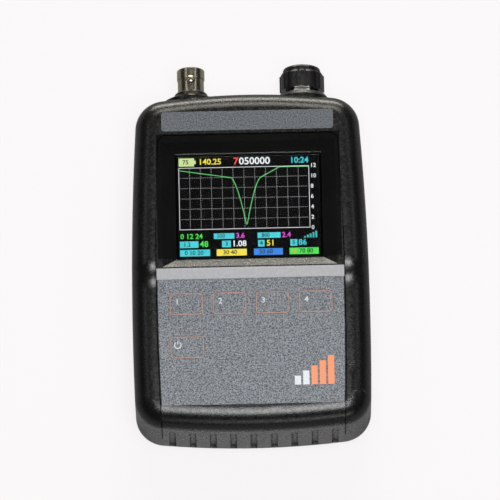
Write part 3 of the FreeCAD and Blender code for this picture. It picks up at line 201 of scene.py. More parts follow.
# Finishes
class Finish:
    """A material with one principled shader, and short ways to add procedural detail to it."""

    def __init__(self, name, rgb, roughness, **sockets):
        self.material = bpy.data.materials.new(name)
        self.material.use_nodes = True
        self.material.diffuse_color = (*rgb, 1)
        self.tree = self.material.node_tree
        self.shader = self.tree.nodes["Principled BSDF"]
        self.shader.inputs["Base Color"].default_value = (*rgb, 1)
        self.shader.inputs["Roughness"].default_value = roughness
        for socket, value in sockets.items():
            self.shader.inputs[socket.replace("_", " ")].default_value = value
        self.place = self.tree.nodes.new("ShaderNodeTexCoord").outputs["Object"]

    def node(self, kind, **values):
        """A new node with some of its inputs set."""
        made = self.tree.nodes.new(kind)
        for socket, value in values.items():
            made.inputs[socket.replace("_", " ")].default_value = value
        return made

    def link(self, source, node, socket):
        """Feed a node's input."""
        self.tree.links.new(source, node.inputs[socket])

    def noise(self, size, detail=2.0, stretch=(1, 1, 1)):
        """Cloudy noise with features of about this size."""
        mapping = self.node("ShaderNodeMapping", Scale=stretch)
        self.link(self.place, mapping, "Vector")
        made = self.node("ShaderNodeTexNoise", Scale=1 / size, Detail=detail)
        self.link(mapping.outputs["Vector"], made, "Vector")
        return made.outputs["Fac"]

    def spread(self, value, low, high, start=NOISE_START, end=NOISE_END):
        """Map a noise value to a range of numbers."""
        made = self.node("ShaderNodeMapRange", From_Min=start, From_Max=end, To_Min=low, To_Max=high)
        self.link(value, made, "Value")
        return made.outputs["Result"]

    def tint(self, value, dark, light, start=NOISE_START, end=NOISE_END):
        """Colour the surface between two colours by a noise value."""
        ramp = self.node("ShaderNodeValToRGB")
        first, last = ramp.color_ramp.elements
        first.position, last.position = start, end
        first.color, last.color = (*dark, 1), (*light, 1)
        self.link(value, ramp, "Fac")
        self.link(ramp.outputs["Color"], self.shader, "Base Color")

    def mottle(self, rgb, size, detail, darkest, lightest, **span):
        """Vary a colour between two shares of itself by cloudy noise."""
        self.tint(self.noise(size, detail), scaled(rgb, darkest), scaled(rgb, lightest), **span)

    def vary_gloss(self, value, low, high):
        """Vary the roughness by a noise value."""
        self.link(self.spread(value, low, high), self.shader, "Roughness")

    def emboss(self, value, depth, strength):
        """Raise the surface by a noise value."""
        bump = self.node("ShaderNodeBump", Strength=strength, Distance=depth)
        self.link(value, bump, "Height")
        self.link(bump.outputs["Normal"], self.shader, "Normal")

    def outside(self, low, high):
        """One outside a rectangle seen from above, and nothing inside it."""
        middle = [(a + b) / 2 for a, b in zip(low, high)]
        half = [(b - a) / 2 for a, b in zip(low, high)]
        mapping = self.node("ShaderNodeMapping", Location=(-middle[0] / half[0], -middle[1] / half[1], 0),
                            Scale=(1 / half[0], 1 / half[1], 0))
        self.link(self.place, mapping, "Vector")
        parts = self.node("ShaderNodeSeparateXYZ")
        self.link(mapping.outputs["Vector"], parts, "Vector")
        across, up = [maths(self.tree, "ABSOLUTE", parts.outputs[axis]) for axis in "XY"]
        return maths(self.tree, "GREATER_THAN", maths(self.tree, "MAXIMUM", across, up), 1)

    def patch(self, low, high, rgb):
        """Another colour inside a rectangle seen from above."""
        base = self.shader.inputs["Base Color"]
        mix = self.node("ShaderNodeMixRGB", Color1=(*rgb, 1))
        self.link(base.links[0].from_socket, mix, "Color2")
        self.link(self.outside(low, high), mix, "Fac")
        self.link(mix.outputs["Color"], self.shader, "Base Color")


def scaled(rgb, factor):
    """A colour made darker or lighter, up to full brightness."""
    return tuple(min(1.0, part * factor) for part in rgb)


def moulded(name, rgb, roughness, grain, depth=0.05 * MM, polished=None):
    """Moulded plastic with a fine eroded grain, left out inside the polished box."""
    smoother, rougher, patches = 0.05, 0.06, grain * 3
    finish = Finish(name, rgb, roughness, IOR=PLASTIC_IOR)
    finish.mottle(rgb, size=9 * MM, detail=4, darkest=0.85, lightest=1.2)
    gloss = finish.spread(finish.noise(patches), roughness - smoother, roughness + rougher)
    relief = finish.noise(grain, detail=3)
    if polished:
        outside = finish.outside(*polished)
        dulling = finish.spread(outside, low=0.5, high=1, start=0, end=1)
        gloss = maths(finish.tree, "MULTIPLY", gloss, dulling)
        relief = maths(finish.tree, "MULTIPLY", relief, outside)
    finish.link(gloss, finish.shader, "Roughness")
    finish.emboss(relief, depth, strength=0.8)
    return finish


def speckled(name, rgb, size, contrast):
    """Printed film with a fine light and dark speckle."""
    roughness, unevenness = 0.5, 0.08
    finish = Finish(name, rgb, roughness)
    finish.mottle(rgb, size, detail=3, darkest=1 - contrast, lightest=1 + contrast, start=0.31, end=0.69)
    finish.vary_gloss(finish.noise(size * 2), roughness - unevenness, roughness + unevenness)
    finish.emboss(finish.noise(size), depth=0.01 * MM, strength=0.5)
    return finish


def metal(name, rgb, roughness, streak=(1, 1, 1)):
    """Plated or drawn metal with faint wear and scratches."""
    finish = Finish(name, rgb, roughness, Metallic=1.0)
    finish.mottle(rgb, size=2.5 * MM, detail=4, darkest=0.88, lightest=1.06)
    wear = finish.noise(size=0.5 * MM, detail=3, stretch=streak)
    finish.vary_gloss(wear, low=roughness * 0.8, high=roughness * 1.2)
    scratches = finish.noise(size=0.25 * MM, stretch=streak)
    finish.emboss(scratches, depth=0.002 * MM, strength=0.15)
    return finish


def ink(name, rgb):
    """Screen-printed ink with slightly uneven cover."""
    finish = Finish(name, rgb, roughness=0.5)
    finish.mottle(rgb, size=0.3 * MM, detail=3, darkest=0.78, lightest=1.12)
    return finish


def lit(name, rgb, strength):
    """A lit part of the display, with its own colour dimmed under the glow."""
    finish = Finish(name, scaled(rgb, 0.2), roughness=0.4, Emission_Color=(*rgb, 1),
                    Emission_Strength=strength)
    finish.mottle(rgb, size=0.25 * MM, detail=2, darkest=0.15, lightest=0.25)
    return finish


def dress(finish, *nodes):
    """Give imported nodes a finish."""
    for node in nodes:
        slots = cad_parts[node].data.materials
        slots.clear()
        slots.append(finish.material)


# Modelling helpers
def set_order(items, key):
    """Put the points or faces of a bmesh in an order that is the same in every run."""
    rank = {item: place for place, item in enumerate(sorted(items, key=key))}
    items.sort(key=rank.get)
    items.index_update()


def new_mesh(name, form):
    """Turn a bmesh into mesh data."""
    set_order(form.verts, key=lambda vert: [round(part / WELD_DISTANCE) for part in vert.co])
    set_order(form.faces, key=lambda face: sorted(vert.index for vert in face.verts))
    mesh = bpy.data.meshes.new(name)
    form.to_mesh(mesh)
    form.free()
    return mesh


def new_object(name, data):
    """Add an object to the scene."""
    made = bpy.data.objects.new(name, data)
    bpy.context.scene.collection.objects.link(made)
    return made


def finish_piece(name, form, body, finish):
    """Turn a bmesh into a piece that rides on a body."""
    piece = new_object(name, new_mesh(name, form))
    piece.data.materials.append(finish.material)
    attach(piece, body)


def merge(form, part):
    """Move one bmesh into another."""
    mesh = new_mesh("part", part)
    form.from_mesh(mesh)
    bpy.data.meshes.remove(mesh)


def move(form, across, up, level):
    """Move a whole bmesh."""
    bmesh.ops.translate(form, verts=form.verts[:], vec=(across, up, level))


def add_box(form, low, high):
    """Add a box between two corners."""
    low, high = Vector(low), Vector(high)
    place = Matrix.Translation((low + high) / 2) @ Matrix.Diagonal((*(high - low), 1))
    bmesh.ops.create_cube(form, size=1, matrix=place)


def raise_sheet(sheet, height=PRINT_HEIGHT):
    """Give a flat sheet in the plane z = 0 a thickness upwards."""
    top = bmesh.ops.extrude_face_region(sheet, geom=sheet.faces[:])
    raised = [item for item in top["geom"] if isinstance(item, bmesh.types.BMVert)]
    bmesh.ops.translate(sheet, verts=raised, vec=(0, 0, height))
    bmesh.ops.recalc_face_normals(sheet, faces=sheet.faces[:])


def make_outline(width, height, corner, line):
    """A flat printed frame with rounded corners around the origin."""
    sheet = bmesh.new()
    bmesh.ops.create_grid(sheet, x_segments=1, y_segments=1, size=0.5,
                          matrix=Matrix.Diagonal((width, height, 1, 1)))
    bmesh.ops.bevel(sheet, geom=sheet.verts[:], offset=corner, offset_type="OFFSET", affect="VERTICES",
                    segments=6, profile=0.5, material=-1)
    bmesh.ops.inset_region(sheet, faces=sheet.faces[:], thickness=line, use_boundary=True,
                           use_even_offset=True)
    inner = min(sheet.faces, key=lambda face: face.calc_center_median().length)
    bmesh.ops.delete(sheet, geom=[inner], context="FACES")
    raise_sheet(sheet)
    return sheet


def add_text(form, text, height, across, up, level, anchor="CENTER"):
    """Plain numerals lying in the plane of the display or the keypad."""
    curve = bpy.data.curves.new("numeral", "FONT")
    curve.body = text
    curve.size = height
    curve.offset = height * BOLDNESS
    curve.align_x = anchor
    curve.align_y = "CENTER"
    curve.resolution_u = 3
    holder = bpy.data.objects.new("numeral", curve)
    mesh = bpy.data.meshes.new_from_object(holder)
    part = bmesh.new()
    part.from_mesh(mesh)
    bmesh.ops.remove_doubles(part, verts=part.verts[:], dist=WELD_DISTANCE)
    heights = [vert.co.y for vert in part.verts]
    growth = height / (max(heights) - min(heights))
    bmesh.ops.scale(part, verts=part.verts[:], vec=(growth, growth, 1))
    raise_sheet(part)
    move(part, across, up, level)
    merge(form, part)
    bpy.data.objects.remove(holder)
    bpy.data.curves.remove(curve)
    bpy.data.meshes.remove(mesh)


# Operators
class ANALYZER_OT_case(bpy.types.Operator):
    """Finish the shells, the panel and the battery door in grained plastic, with a painted highlight on the
    ledge below the display
    """
    bl_idname = "analyzer.case"
    bl_label = "Finish Case"

    def execute(self, context):
        look = context.scene.case_finish
        window_low, window_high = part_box("display_window")
        polished = ((window_low.x - BEZEL_SLOPE, window_low.y + LOWER_SLOPE_TOP),
                    (window_high.x + BEZEL_SLOPE, window_high.y + BEZEL_SLOPE))
        front = moulded("grained_black", look.shell_colour, look.shell_roughness, look.grain_size,
                        look.grain_depth, polished)
        panel_low, panel_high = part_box("front_panel")
        # The ledge below the display gets a light colour: a painted highlight in place of a lamp's reflection
        # on black plastic
        ledge_foot, ledge_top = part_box("keypad_overlay")[1].y, window_low.y - LEDGE_TO_WINDOW
        front.patch((panel_low.x, ledge_foot), (panel_high.x, ledge_top), look.ledge_highlight_colour)
        dress(front, "front_shell", "front_panel")
        back = moulded("grained_brown", look.back_colour, look.shell_roughness + BACK_DULLER,
                       look.grain_size, look.grain_depth)
        dress(back, "back_shell", "battery_door")
        collar = moulded("collar_black", scaled(look.shell_colour, COLLAR_DARKER), roughness=0.28,
                         grain=look.grain_size)
        dress(collar, "jack_collar", "encoder_collar")
        return {"FINISHED"}


class ANALYZER_OT_films(bpy.types.Operator):
    """Finish the keypad film, the keys and the label in speckled film"""
    bl_idname = "analyzer.films"
    bl_label = "Finish Films"

    def execute(self, context):
        look = context.scene.case_finish
        keypad = speckled("keypad_film", look.film_colour, look.speckle_size, contrast=0.95)
        dress(keypad, "keypad_overlay", *KEYS)
        dress(speckled("label_film", look.label_colour, look.speckle_size, contrast=0.8), "label_plate")
        return {"FINISHED"}


class ANALYZER_OT_fittings(bpy.types.Operator):
    """Finish the antenna jack, the knob and the encoder"""
    bl_idname = "analyzer.fittings"
    bl_label = "Finish Jack and Knob"

    def execute(self, context):
        nickel = metal("nickel_plate", (0.46, 0.42, 0.32), roughness=0.24, streak=TURNING_MARKS)
        dress(nickel, "jack_body")
        self.crown_lugs(nickel)
        dress(metal("dark_nickel", (0.12, 0.115, 0.1), roughness=0.3), "jack_nut", "jack_washer")
        insulator = moulded("jack_insulator_white", (0.75, 0.73, 0.68), roughness=0.4, grain=0.4 * MM)
        dress(insulator, "jack_insulator")
        dress(metal("gold_contact", (0.85, 0.6, 0.26), roughness=0.22), "jack_contact")
        rubber = moulded("knob_black", (0.008, 0.008, 0.009), roughness=0.3, grain=0.4 * MM, depth=0.04 * MM)
        dress(rubber, "knob", "knob_cap")
        steel = metal("turned_steel", (0.56, 0.56, 0.55), roughness=0.3, streak=TURNING_MARKS)
        dress(steel, "encoder_shaft", "encoder_bushing", "encoder_nut", "encoder_case")
        wheel = moulded("encoder_wheel", (0.6, 0.56, 0.45), roughness=0.45, grain=0.5 * MM)
        dress(wheel, "encoder_disc")
        return {"FINISHED"}

    def crown_lugs(self, nickel):
        """Domed heads with flared roots on the two bayonet lugs of the jack."""
        low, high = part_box("jack_body")
        middle, from_mouth = (low + high) / 2, 4.8 * MM
        # Radius and height in millimetres, from the root to the top
        profile = ((1.6, -0.95), (1.3, -0.78), (1.12, -0.5), (1.1, -0.1), (0.95, 0.08), (0.6, 0.2), (0, 0.24))
        for name, side, top in (("lug_crown_front", 1, high.z), ("lug_crown_back", -1, low.z)):
            crown = bmesh.new()
            points = [crown.verts.new((radius * MM, 0, height * MM)) for radius, height in profile]
            edges = [crown.edges.new(pair) for pair in zip(points, points[1:])]
            bmesh.ops.spin(crown, geom=points + edges, cent=(0, 0, 0), axis=(0, 0, 1), angle=math.tau,
                           steps=32, use_merge=True, use_duplicate=False)
            bmesh.ops.remove_doubles(crown, verts=crown.verts[:], dist=WELD_DISTANCE)
            bmesh.ops.holes_fill(crown, edges=[edge for edge in crown.edges if edge.is_boundary])
            bmesh.ops.scale(crown, verts=crown.verts[:], vec=(1, 1, side))
            move(crown, middle.x, high.y - from_mouth, top)
            bmesh.ops.recalc_face_normals(crown, faces=crown.faces[:])
            finish_piece(name, crown, "case", nickel)


class ANALYZER_OT_inside(bpy.types.Operator):
    """Finish the boards, the battery bay and the screws"""
    bl_idname = "analyzer.inside"
    bl_label = "Finish Inside"

    def execute(self, context):
        board = moulded("solder_mask", (0.02, 0.13, 0.05), roughness=0.3, grain=1.5 * MM)
        dress(board, "main_board", "keypad_board")
        sheet = metal("sheet_steel", (0.6, 0.6, 0.6), roughness=0.32)
        dress(sheet, "rf_shield", "lcd_frame", "battery_contacts", "battery_springs")
        dress(metal("zinc_plate", (0.5, 0.5, 0.52), roughness=0.3), "case_screws", "board_screws")
        bay = moulded("bay_black", (0.03, 0.03, 0.03), roughness=0.45, grain=0.5 * MM)
        dress(bay, "battery_tray", "tact_switches")
        wrap = moulded("cell_wrap", (0.05, 0.14, 0.34), roughness=0.28, grain=4 * MM)
        dress(wrap, "battery_cells")
        foam = moulded("foam_black", (0.02, 0.02, 0.02), roughness=0.85, grain=0.4 * MM, depth=0.08 * MM)
        dress(foam, "display_gasket")
        return {"FINISHED"}


class ANALYZER_OT_display(bpy.types.Operator):
    """Light the display: a plot with a grid, a curve with one dip, plain numbers and coloured fields"""
    bl_idname = "analyzer.display"
    bl_label = "Light Display"

    def execute(self, context):
        screen = Finish("display_black", (0.0015, 0.0015, 0.002), roughness=0.12)
        screen.tint(screen.noise(size=12 * MM), dark=(0.001, 0.001, 0.0015), light=(0.003, 0.0022, 0.0025))
        dress(screen, "lcd_glass")
        lens = Finish("clear_window", (1, 1, 1), roughness=0.03, Transmission_Weight=1.0, IOR=LENS_IOR)
        lens.vary_gloss(lens.noise(size=15 * MM), low=0.02, high=0.05)
        dress(lens, "display_window")
        low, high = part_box("lcd_glass")
        self.centre, self.level = (low + high) / 2, high.z + PICTURE_LIFT
        self.look = context.scene.display_picture
        self.draw_plot()
        self.draw_fields()
        return {"FINISHED"}

    def show(self, name, form, rgb):
        """Make a lit piece of the picture."""
        finish_piece(name, form, "case", lit(name + "_light", rgb, self.look.brightness))

    def place(self, across, up):
        """A place given in millimetres from the display's middle."""
        return self.centre.x + across * MM, self.centre.y + up * MM

    def bar(self, form, left, right, bottom, top):
        """A lit bar, with sizes in millimetres from the display's middle."""
        add_box(form, (*self.place(left, bottom), self.level),
                (*self.place(right, top), self.level + PRINT_HEIGHT))

    def number(self, form, text, across, up, height, lift=0):
        """Plain numbers that start at a place, or lie on a bar when they are lifted."""
        add_text(form, text, height * MM, *self.place(across, up), self.level + lift, "LEFT")

    def draw_plot(self):
        """A border with a dotted grid, the curve, and a scale at the right."""
        look, grey, pale = self.look, (0.7, 0.72, 0.75), (0.75, 0.78, 0.8)
        left, right = PLOT_LEFT, PLOT_LEFT + look.plot_width / MM
        bottom, top = PLOT_TOP - look.plot_height / MM, PLOT_TOP
        line, dot, step = 0.2, 0.08, 0.63
        scale_gap, scale_height, scale_step = 0.4, 1.5, 2
        border = bmesh.new()
        for edge in ((left, right, bottom, bottom + line), (left, right, top - line, top),
                     (left, left + line, bottom, top), (right - line, right, bottom, top)):
            self.bar(border, *edge)
        self.show("plot_border", border, grey)
        across, up = (right - left) / look.columns, (top - bottom) / look.rows
        upright = [(left + column * across, bottom + index * step) for column in range(1, look.columns)
                   for index in range(1, int((top - bottom) / step))]
        lying = [(left + index * step, bottom + row * up) for row in range(1, look.rows)
                 for index in range(1, int((right - left) / step))]
        dots = bmesh.new()
        for x, y in upright + lying:
            self.bar(dots, x - dot, x + dot, y - dot, y + dot)
        self.show("plot_grid", dots, grey)
        self.draw_curve(left, right, bottom, top)
        scale = bmesh.new()
        for row in range(look.rows + 1):
            self.number(scale, str(row * scale_step), right + scale_gap, bottom + row * up, scale_height)
        self.show("plot_scale", scale, pale)

    def draw_curve(self, left, right, bottom, top):
        """A ribbon with two sloping shoulders and a steep dip between two knees."""
        dip = left + (right - left) * self.look.dip_place
        knee = self.look.dip_width / MM
        margin, shallow, deep, steepness = 0.3, 0.16, 0.96, 1.6
        past_left_edge, right_shoulder = 4, 6.5
        left_reach, right_reach = dip - left + past_left_edge, knee + right_shoulder
        small_step, green = 0.01, (0.12, 0.7, 0.16)

        def height_at(x):
            away, reach = abs(x - dip), left_reach if x < dip else right_reach
            if away < knee:
                drop = shallow + (deep - shallow) * (1 - away / knee) ** steepness
            else:
                drop = shallow * max(0, 1 - (away - knee) / (reach - knee))
            return top - margin - (top - bottom - margin) * drop

        ribbon = bmesh.new()
        bmesh.ops.create_grid(ribbon, x_segments=160, y_segments=1, size=0.5)
        for vert in ribbon.verts:
            x = left + margin + (right - left - 2 * margin) * (vert.co.x + 0.5)
            slope = (height_at(x + small_step) - height_at(x - small_step)) / (2 * small_step)
            side = Vector((-slope, 1, 0)).normalized() * self.look.line_width * vert.co.y
            vert.co = Vector((*self.place(x, height_at(x)), self.level)) + side
        raise_sheet(ribbon)
        self.show("plot_curve", ribbon, green)

    def draw_fields(self):
        """Coloured fields, signs and numbers above and below the plot."""
        white, cyan, yellow = (0.85, 0.88, 0.9), (0.04, 0.6, 0.68), (0.85, 0.72, 0.05)
        green, blue, magenta = (0.06, 0.75, 0.07), (0.02, 0.22, 0.75), (0.75, 0.06, 0.65)
        red, teal, pale, orange = (0.8, 0.07, 0.05), (0.05, 0.45, 0.45), (0.6, 0.75, 0.3), (0.9, 0.3, 0.03)
        dark = (0.01, 0.03, 0.03)
        tall, low, sign_half, cap_half = 1.2, 1.0, 1.5, 0.6
        strips, strips_left, strip_width, lowest_strip, strip_rise = 5, 19.0, 0.6, 0.6, 0.45
        # Left end, right end, row and half height of each cyan field
        cyan_fields = ((-12.5, -5.3, UPPER_ROW, low), (2.8, 10.8, UPPER_ROW, low),
                       (-24.4, -17.9, LOWER_ROW, tall), (-9.7, -6.6, LOWER_ROW, tall),
                       (2.9, 5.2, LOWER_ROW, tall), (14.2, 16.6, LOWER_ROW, tall),
                       (-24.4, -13.9, FOOT_ROW, tall))
        bars = {
            "battery_sign": (pale, [(-24.3, -18.9, HEAD_ROW - sign_half, HEAD_ROW + sign_half),
                                    (-18.9, -18.3, HEAD_ROW - cap_half, HEAD_ROW + cap_half)]),
            "cyan_fields": (cyan, [(left, right, row - half, row + half)
                                   for left, right, row, half in cyan_fields]),
            "yellow_field": (yellow, [(-11.6, -1.1, FOOT_ROW - tall, FOOT_ROW + tall)]),
            "blue_field": (blue, [(1.4, 11.5, FOOT_ROW - tall, FOOT_ROW + tall)]),
            "green_field": (green, [(13.8, 24.0, FOOT_ROW - tall, FOOT_ROW + tall)]),
            "signal_sign": (teal, [(strips_left + step, strips_left + strip_width + step, UPPER_ROW - tall,
                                    UPPER_ROW - lowest_strip + strip_rise * step)
                                   for step in range(strips)]),
        }
        for name, (rgb, places) in bars.items():
            form = bmesh.new()
            for place in places:
                self.bar(form, *place)
            self.show(name, form, rgb)
        # Colour, lift, and the text, left end, row and height of each number
        numbers = {
            "yellow_numbers": (yellow, 0, [("140.25", -17.4, HEAD_ROW, 2.2), ("51", 5.8, LOWER_ROW, 2.2)]),
            "red_number": (red, 0, [("7", -5.2, HEAD_ROW, 2.7)]),
            "white_numbers": (white, 0, [("050000", -3.2, HEAD_ROW, 2.7), ("1.08", -6.2, LOWER_ROW, 2.2)]),
            "cyan_numbers": (cyan, 0, [("10:24", 14.6, HEAD_ROW, 2.2), ("86", 17.0, LOWER_ROW, 2.2)]),
            "green_numbers": (green, 0, [("0 12 24", -24.2, UPPER_ROW, 1.9), ("48", -17.4, LOWER_ROW, 2.2)]),
            "field_numbers": (dark, PRINT_HEIGHT, [
                ("75", -23.0, HEAD_ROW, 1.6), ("500", -11.4, UPPER_ROW, 1.4), ("800", 4.2, UPPER_ROW, 1.4),
                ("1.2", -23.2, LOWER_ROW, 1.6), ("3", -8.6, LOWER_ROW, 1.6), ("4", 3.5, LOWER_ROW, 1.6),
                ("5", 14.8, LOWER_ROW, 1.6), ("0 10 20", -22.8, FOOT_ROW, 1.6),
                ("30 40", -9.4, FOOT_ROW, 1.6), ("50 60", 3.2, FOOT_ROW, 1.6),
                ("70 80", 17.2, FOOT_ROW, 1.6)]),
            "magenta_numbers": (magenta, 0, [("3.6", -4.8, UPPER_ROW, 1.9), ("2.4", 11.3, UPPER_ROW, 1.9)]),
        }
        for name, (rgb, lift, texts) in numbers.items():
            form = bmesh.new()
            for text, left, row, height in texts:
                self.number(form, text, left, row, height, lift)
            self.show(name, form, rgb)
        pointer, pointer_left, pointer_radius = bmesh.new(), 15.5, 0.9 * MM
        bmesh.ops.create_circle(pointer, cap_ends=True, segments=3, radius=pointer_radius)
        raise_sheet(pointer)
        move(pointer, *self.place(pointer_left, FOOT_ROW), self.level + PRINT_HEIGHT)
        self.show("pointer_sign", pointer, orange)


class ANALYZER_OT_keypad_print(bpy.types.Operator):
    """Print outlines, plain numerals and the power sign on the keys, and a bar mark on the film"""
    bl_idname = "analyzer.keypad_print"
    bl_label = "Print Keypad"

    def execute(self, context):
        look = context.scene.keypad_print
        outline, legend = ink("outline_ink", look.outline_colour), ink("legend_ink", look.legend_colour)
        for key in KEYS:
            self.print_key(key, look, outline, legend)
        self.print_mark(look, legend)
        return {"FINISHED"}

    def print_key(self, key, look, outline, legend):
        """A thin outline, with a numeral or the power sign in its upper left."""
        low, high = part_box(key)
        centre, margin = (low + high) / 2, 0.825 * MM
        border = make_outline(high.x - low.x - 2 * margin, high.y - low.y - 2 * margin,
                              look.outline_corner, look.outline_width)
        move(border, centre.x, centre.y, high.z)
        finish_piece(key + "_outline", border, key, outline)
        sign = bmesh.new()
        if key == "key_power":
            self.draw_power_sign(sign, centre.x - 3.3 * MM, centre.y + 0.9 * MM, high.z)
        else:
            add_text(sign, key[-1], look.numeral_height, centre.x - 3.2 * MM, centre.y + 0.8 * MM, high.z)
        finish_piece(key + "_legend", sign, key, legend)

    def draw_power_sign(self, form, across, up, level):
        """A broken ring with a stroke in its gap."""
        radius, line, gap = 1.15 * MM, 0.3 * MM, math.radians(35)
        stroke_foot, stroke_head = radius * 0.35, radius * 1.3
        ring = bmesh.new()
        start = Vector((0, radius - line / 2, 0))
        inner, outer = ring.verts.new(start), ring.verts.new(start + Vector((0, line, 0)))
        section = [ring.edges.new((inner, outer))]
        bmesh.ops.rotate(ring, verts=ring.verts[:], cent=(0, 0, 0), matrix=Matrix.Rotation(gap, 3, "Z"))
        bmesh.ops.spin(ring, geom=section + ring.verts[:], cent=(0, 0, 0), axis=(0, 0, 1),
                       angle=math.tau - 2 * gap, steps=28, use_merge=False, use_duplicate=False)
        raise_sheet(ring)
        move(ring, across, up, level)
        merge(form, ring)
        add_box(form, (across - line / 2, up + stroke_foot, level),
                (across + line / 2, up + stroke_head, level + PRINT_HEIGHT))

    def print_mark(self, look, legend):
        """Five rising bars, two light and three warm, at the keypad's lower right."""
        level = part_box("keypad_overlay")[1].z
        left, bottom = 14.6 * MM, -46.4 * MM
        pitch, width, lowest, rise = 2.9 * MM, 2.2 * MM, 3.2 * MM, 1.8 * MM
        warm = ink("mark_ink", look.mark_colour)
        for name, finish, steps in (("light_bars", legend, (0, 1)), ("warm_bars", warm, (2, 3, 4))):
            form = bmesh.new()
            for step in steps:
                x = left + step * pitch
                add_box(form, (x, bottom, level),
                        (x + width, bottom + lowest + rise * step, level + PRINT_HEIGHT))
            finish_piece(name, form, "case", finish)


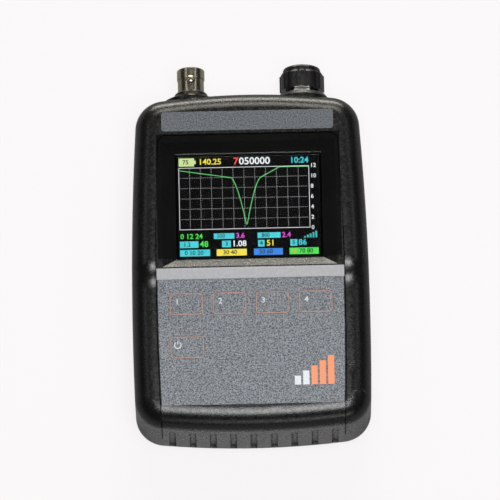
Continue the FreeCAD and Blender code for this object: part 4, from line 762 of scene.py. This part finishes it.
class ANALYZER_OT_stage(bpy.types.Operator):
    """Set the camera, the pale floor and the soft lights"""
    bl_idname = "analyzer.stage"
    bl_label = "Set Stage"

    def execute(self, context):
        look = context.scene.stage_settings
        context.scene.view_settings.view_transform = "Standard"
        self.set_camera(context, look)
        self.lay_floor(look)
        self.set_world(context)
        self.hang_lights()
        return {"FINISHED"}

    def set_camera(self, context, look):
        """A long lens, tilted towards the foot and turned a little, as in the photograph."""
        towards = Vector((0, -math.sin(look.tilt), math.cos(look.tilt)))
        up = Vector((0, math.cos(look.tilt), math.sin(look.tilt)))
        right = Vector((1, 0, 0))
        turned_right = right * math.cos(look.roll) - up * math.sin(look.roll)
        turned_up = right * math.sin(look.roll) + up * math.cos(look.roll)
        thickness = CAD_BOX[1][2] - CAD_BOX[0][2]
        data = bpy.data.cameras.new("camera")
        data.sensor_width = SENSOR_WIDTH
        data.lens = SENSOR_WIDTH * (look.distance - thickness / 2) / look.field
        data.clip_end = look.distance * 4
        camera = new_object("camera", data)
        turn = Matrix((turned_right, turned_up, towards)).transposed()
        place = turned_right * look.shift_across + turned_up * look.shift_up + towards * look.distance
        camera.matrix_world = Matrix.Translation(place) @ turn.to_4x4()
        context.scene.camera = camera

    def lay_floor(self, look):
        """A pale floor just below the object, and clear from beneath so that the back can be seen."""
        form = bmesh.new()
        bmesh.ops.create_grid(form, x_segments=1, y_segments=1, size=FLOOR_REACH,
                              matrix=Matrix.Translation((0, 0, -FLOOR_GAP)))
        floor = new_object("floor", new_mesh("floor", form))
        material = bpy.data.materials.new("pale_floor")
        material.use_nodes = True
        tree = material.node_tree
        matt = tree.nodes["Principled BSDF"]
        matt.inputs["Roughness"].default_value = FLOOR_ROUGHNESS
        path = tree.nodes.new("ShaderNodeLightPath").outputs
        ground = tree.nodes.new("ShaderNodeMapRange")
        ground.inputs["To Min"].default_value = GROUND_UNSEEN
        ground.inputs["To Max"].default_value = GROUND_SEEN
        tree.links.new(path["Is Camera Ray"], ground.inputs["Value"])
        tree.links.new(ground.outputs["Result"], matt.inputs["Base Color"])
        glow = tree.nodes.new("ShaderNodeEmission")
        glow.inputs["Color"].default_value = (*scaled(FLOOR_TINT, look.floor_level), 1)
        pale = mixed(tree, seen(tree, FLOOR_GLOW), matt.outputs[0], glow.outputs[0])
        clear = tree.nodes.new("ShaderNodeBsdfTransparent")
        backfacing = tree.nodes.new("ShaderNodeNewGeometry").outputs["Backfacing"]
        see_through = maths(tree, "MAXIMUM", backfacing, path["Is Shadow Ray"])
        surface = mixed(tree, see_through, pale, clear.outputs[0])
        tree.links.new(surface, tree.nodes["Material Output"].inputs["Surface"])
        floor.data.materials.append(material)

    def set_world(self, context):
        """A dim room around the lamps, pale where the camera sees it beyond the floor."""
        world = bpy.data.worlds.new("studio")
        world.use_nodes = True
        tree = world.node_tree
        room, pale = tree.nodes["Background"], tree.nodes.new("ShaderNodeBackground")
        room.inputs["Color"].default_value = (*ROOM_COLOUR, 1)
        pale.inputs["Color"].default_value = (*BACKDROP_COLOUR, 1)
        surface = mixed(tree, seen(tree, BACKDROP_GLOW), room.outputs[0], pale.outputs[0])
        tree.links.new(surface, tree.nodes["World Output"].inputs["Surface"])
        context.scene.world = world

    def hang_lights(self):
        """Soft lamps above, behind and beneath, all aimed at the object."""
        white, warm = (1, 1, 1), (1, 0.97, 0.86)
        # Name, place, width, height, watts and tone
        lamps = (
            ("key_softbox", (0.06, -0.22, 1.18), 0.46, 0.6, 11.5, white),
            ("foot_strip", (0.22, -0.94, 0.37), 0.7, 0.17, 1.2, white),
            ("rear_softbox", (0.05, 0.85, 0.75), 0.7, 0.25, 5.0, warm),
            ("rear_strip", (0.0, 1.1, 0.12), 1.0, 0.22, 9.0, warm),
            ("left_streak", (-0.74, 0.36, 0.88), 0.3, 0.14, 0.3, white),
            ("right_streak", (0.74, 0.36, 0.88), 0.3, 0.14, 0.3, white),
            ("under_softbox", (0.0, -0.3, -1.1), 0.5, 0.5, 7.0, white),
        )
        for name, place, width, height, watts, tone in lamps:
            data = bpy.data.lights.new(name, "AREA")
            data.shape = "RECTANGLE"
            data.size, data.size_y, data.energy, data.color = width, height, watts, tone
            lamp = new_object(name, data)
            lamp.location = place
            lamp.rotation_euler = (LAMP_AIM - lamp.location).to_track_quat("-Z", "Y").to_euler()


class ANALYZER_PT_looks(bpy.types.Panel):
    """Sidebar panel with the analyzer's settings and steps"""
    bl_label = "Antenna Analyzer"
    bl_idname = "ANALYZER_PT_looks"
    bl_space_type = "VIEW_3D"
    bl_region_type = "UI"
    bl_category = "Analyzer"

    def draw(self, context):
        for group in GROUPS:
            box = self.layout.box()
            settings = getattr(context.scene, group)
            for name in settings.__annotations__:
                box.prop(settings, name)
        for step in STEPS:
            self.layout.operator(step.bl_idname)


GROUPS = {"case_finish": CaseFinish, "keypad_print": KeypadPrint, "display_picture": DisplayPicture,
          "stage_settings": StageSettings}
STEPS = (ANALYZER_OT_case, ANALYZER_OT_films, ANALYZER_OT_fittings, ANALYZER_OT_inside, ANALYZER_OT_display,
         ANALYZER_OT_keypad_print, ANALYZER_OT_stage)
CLASSES = (*GROUPS.values(), *STEPS, ANALYZER_PT_looks)


def register():
    """Register the classes and add the settings to the scene."""
    for item in CLASSES:
        bpy.utils.register_class(item)
    for name, group in GROUPS.items():
        setattr(bpy.types.Scene, name, PointerProperty(type=group))


def unregister():
    """Take the settings and the classes away again."""
    for name in GROUPS:
        delattr(bpy.types.Scene, name)
    for item in reversed(CLASSES):
        bpy.utils.unregister_class(item)


def main():
    """Run each step in order."""
    register()
    for step in STEPS:
        group, name = step.bl_idname.split(".")
        getattr(getattr(bpy.ops, group), name)()


if __name__ == "__main__":
    main()
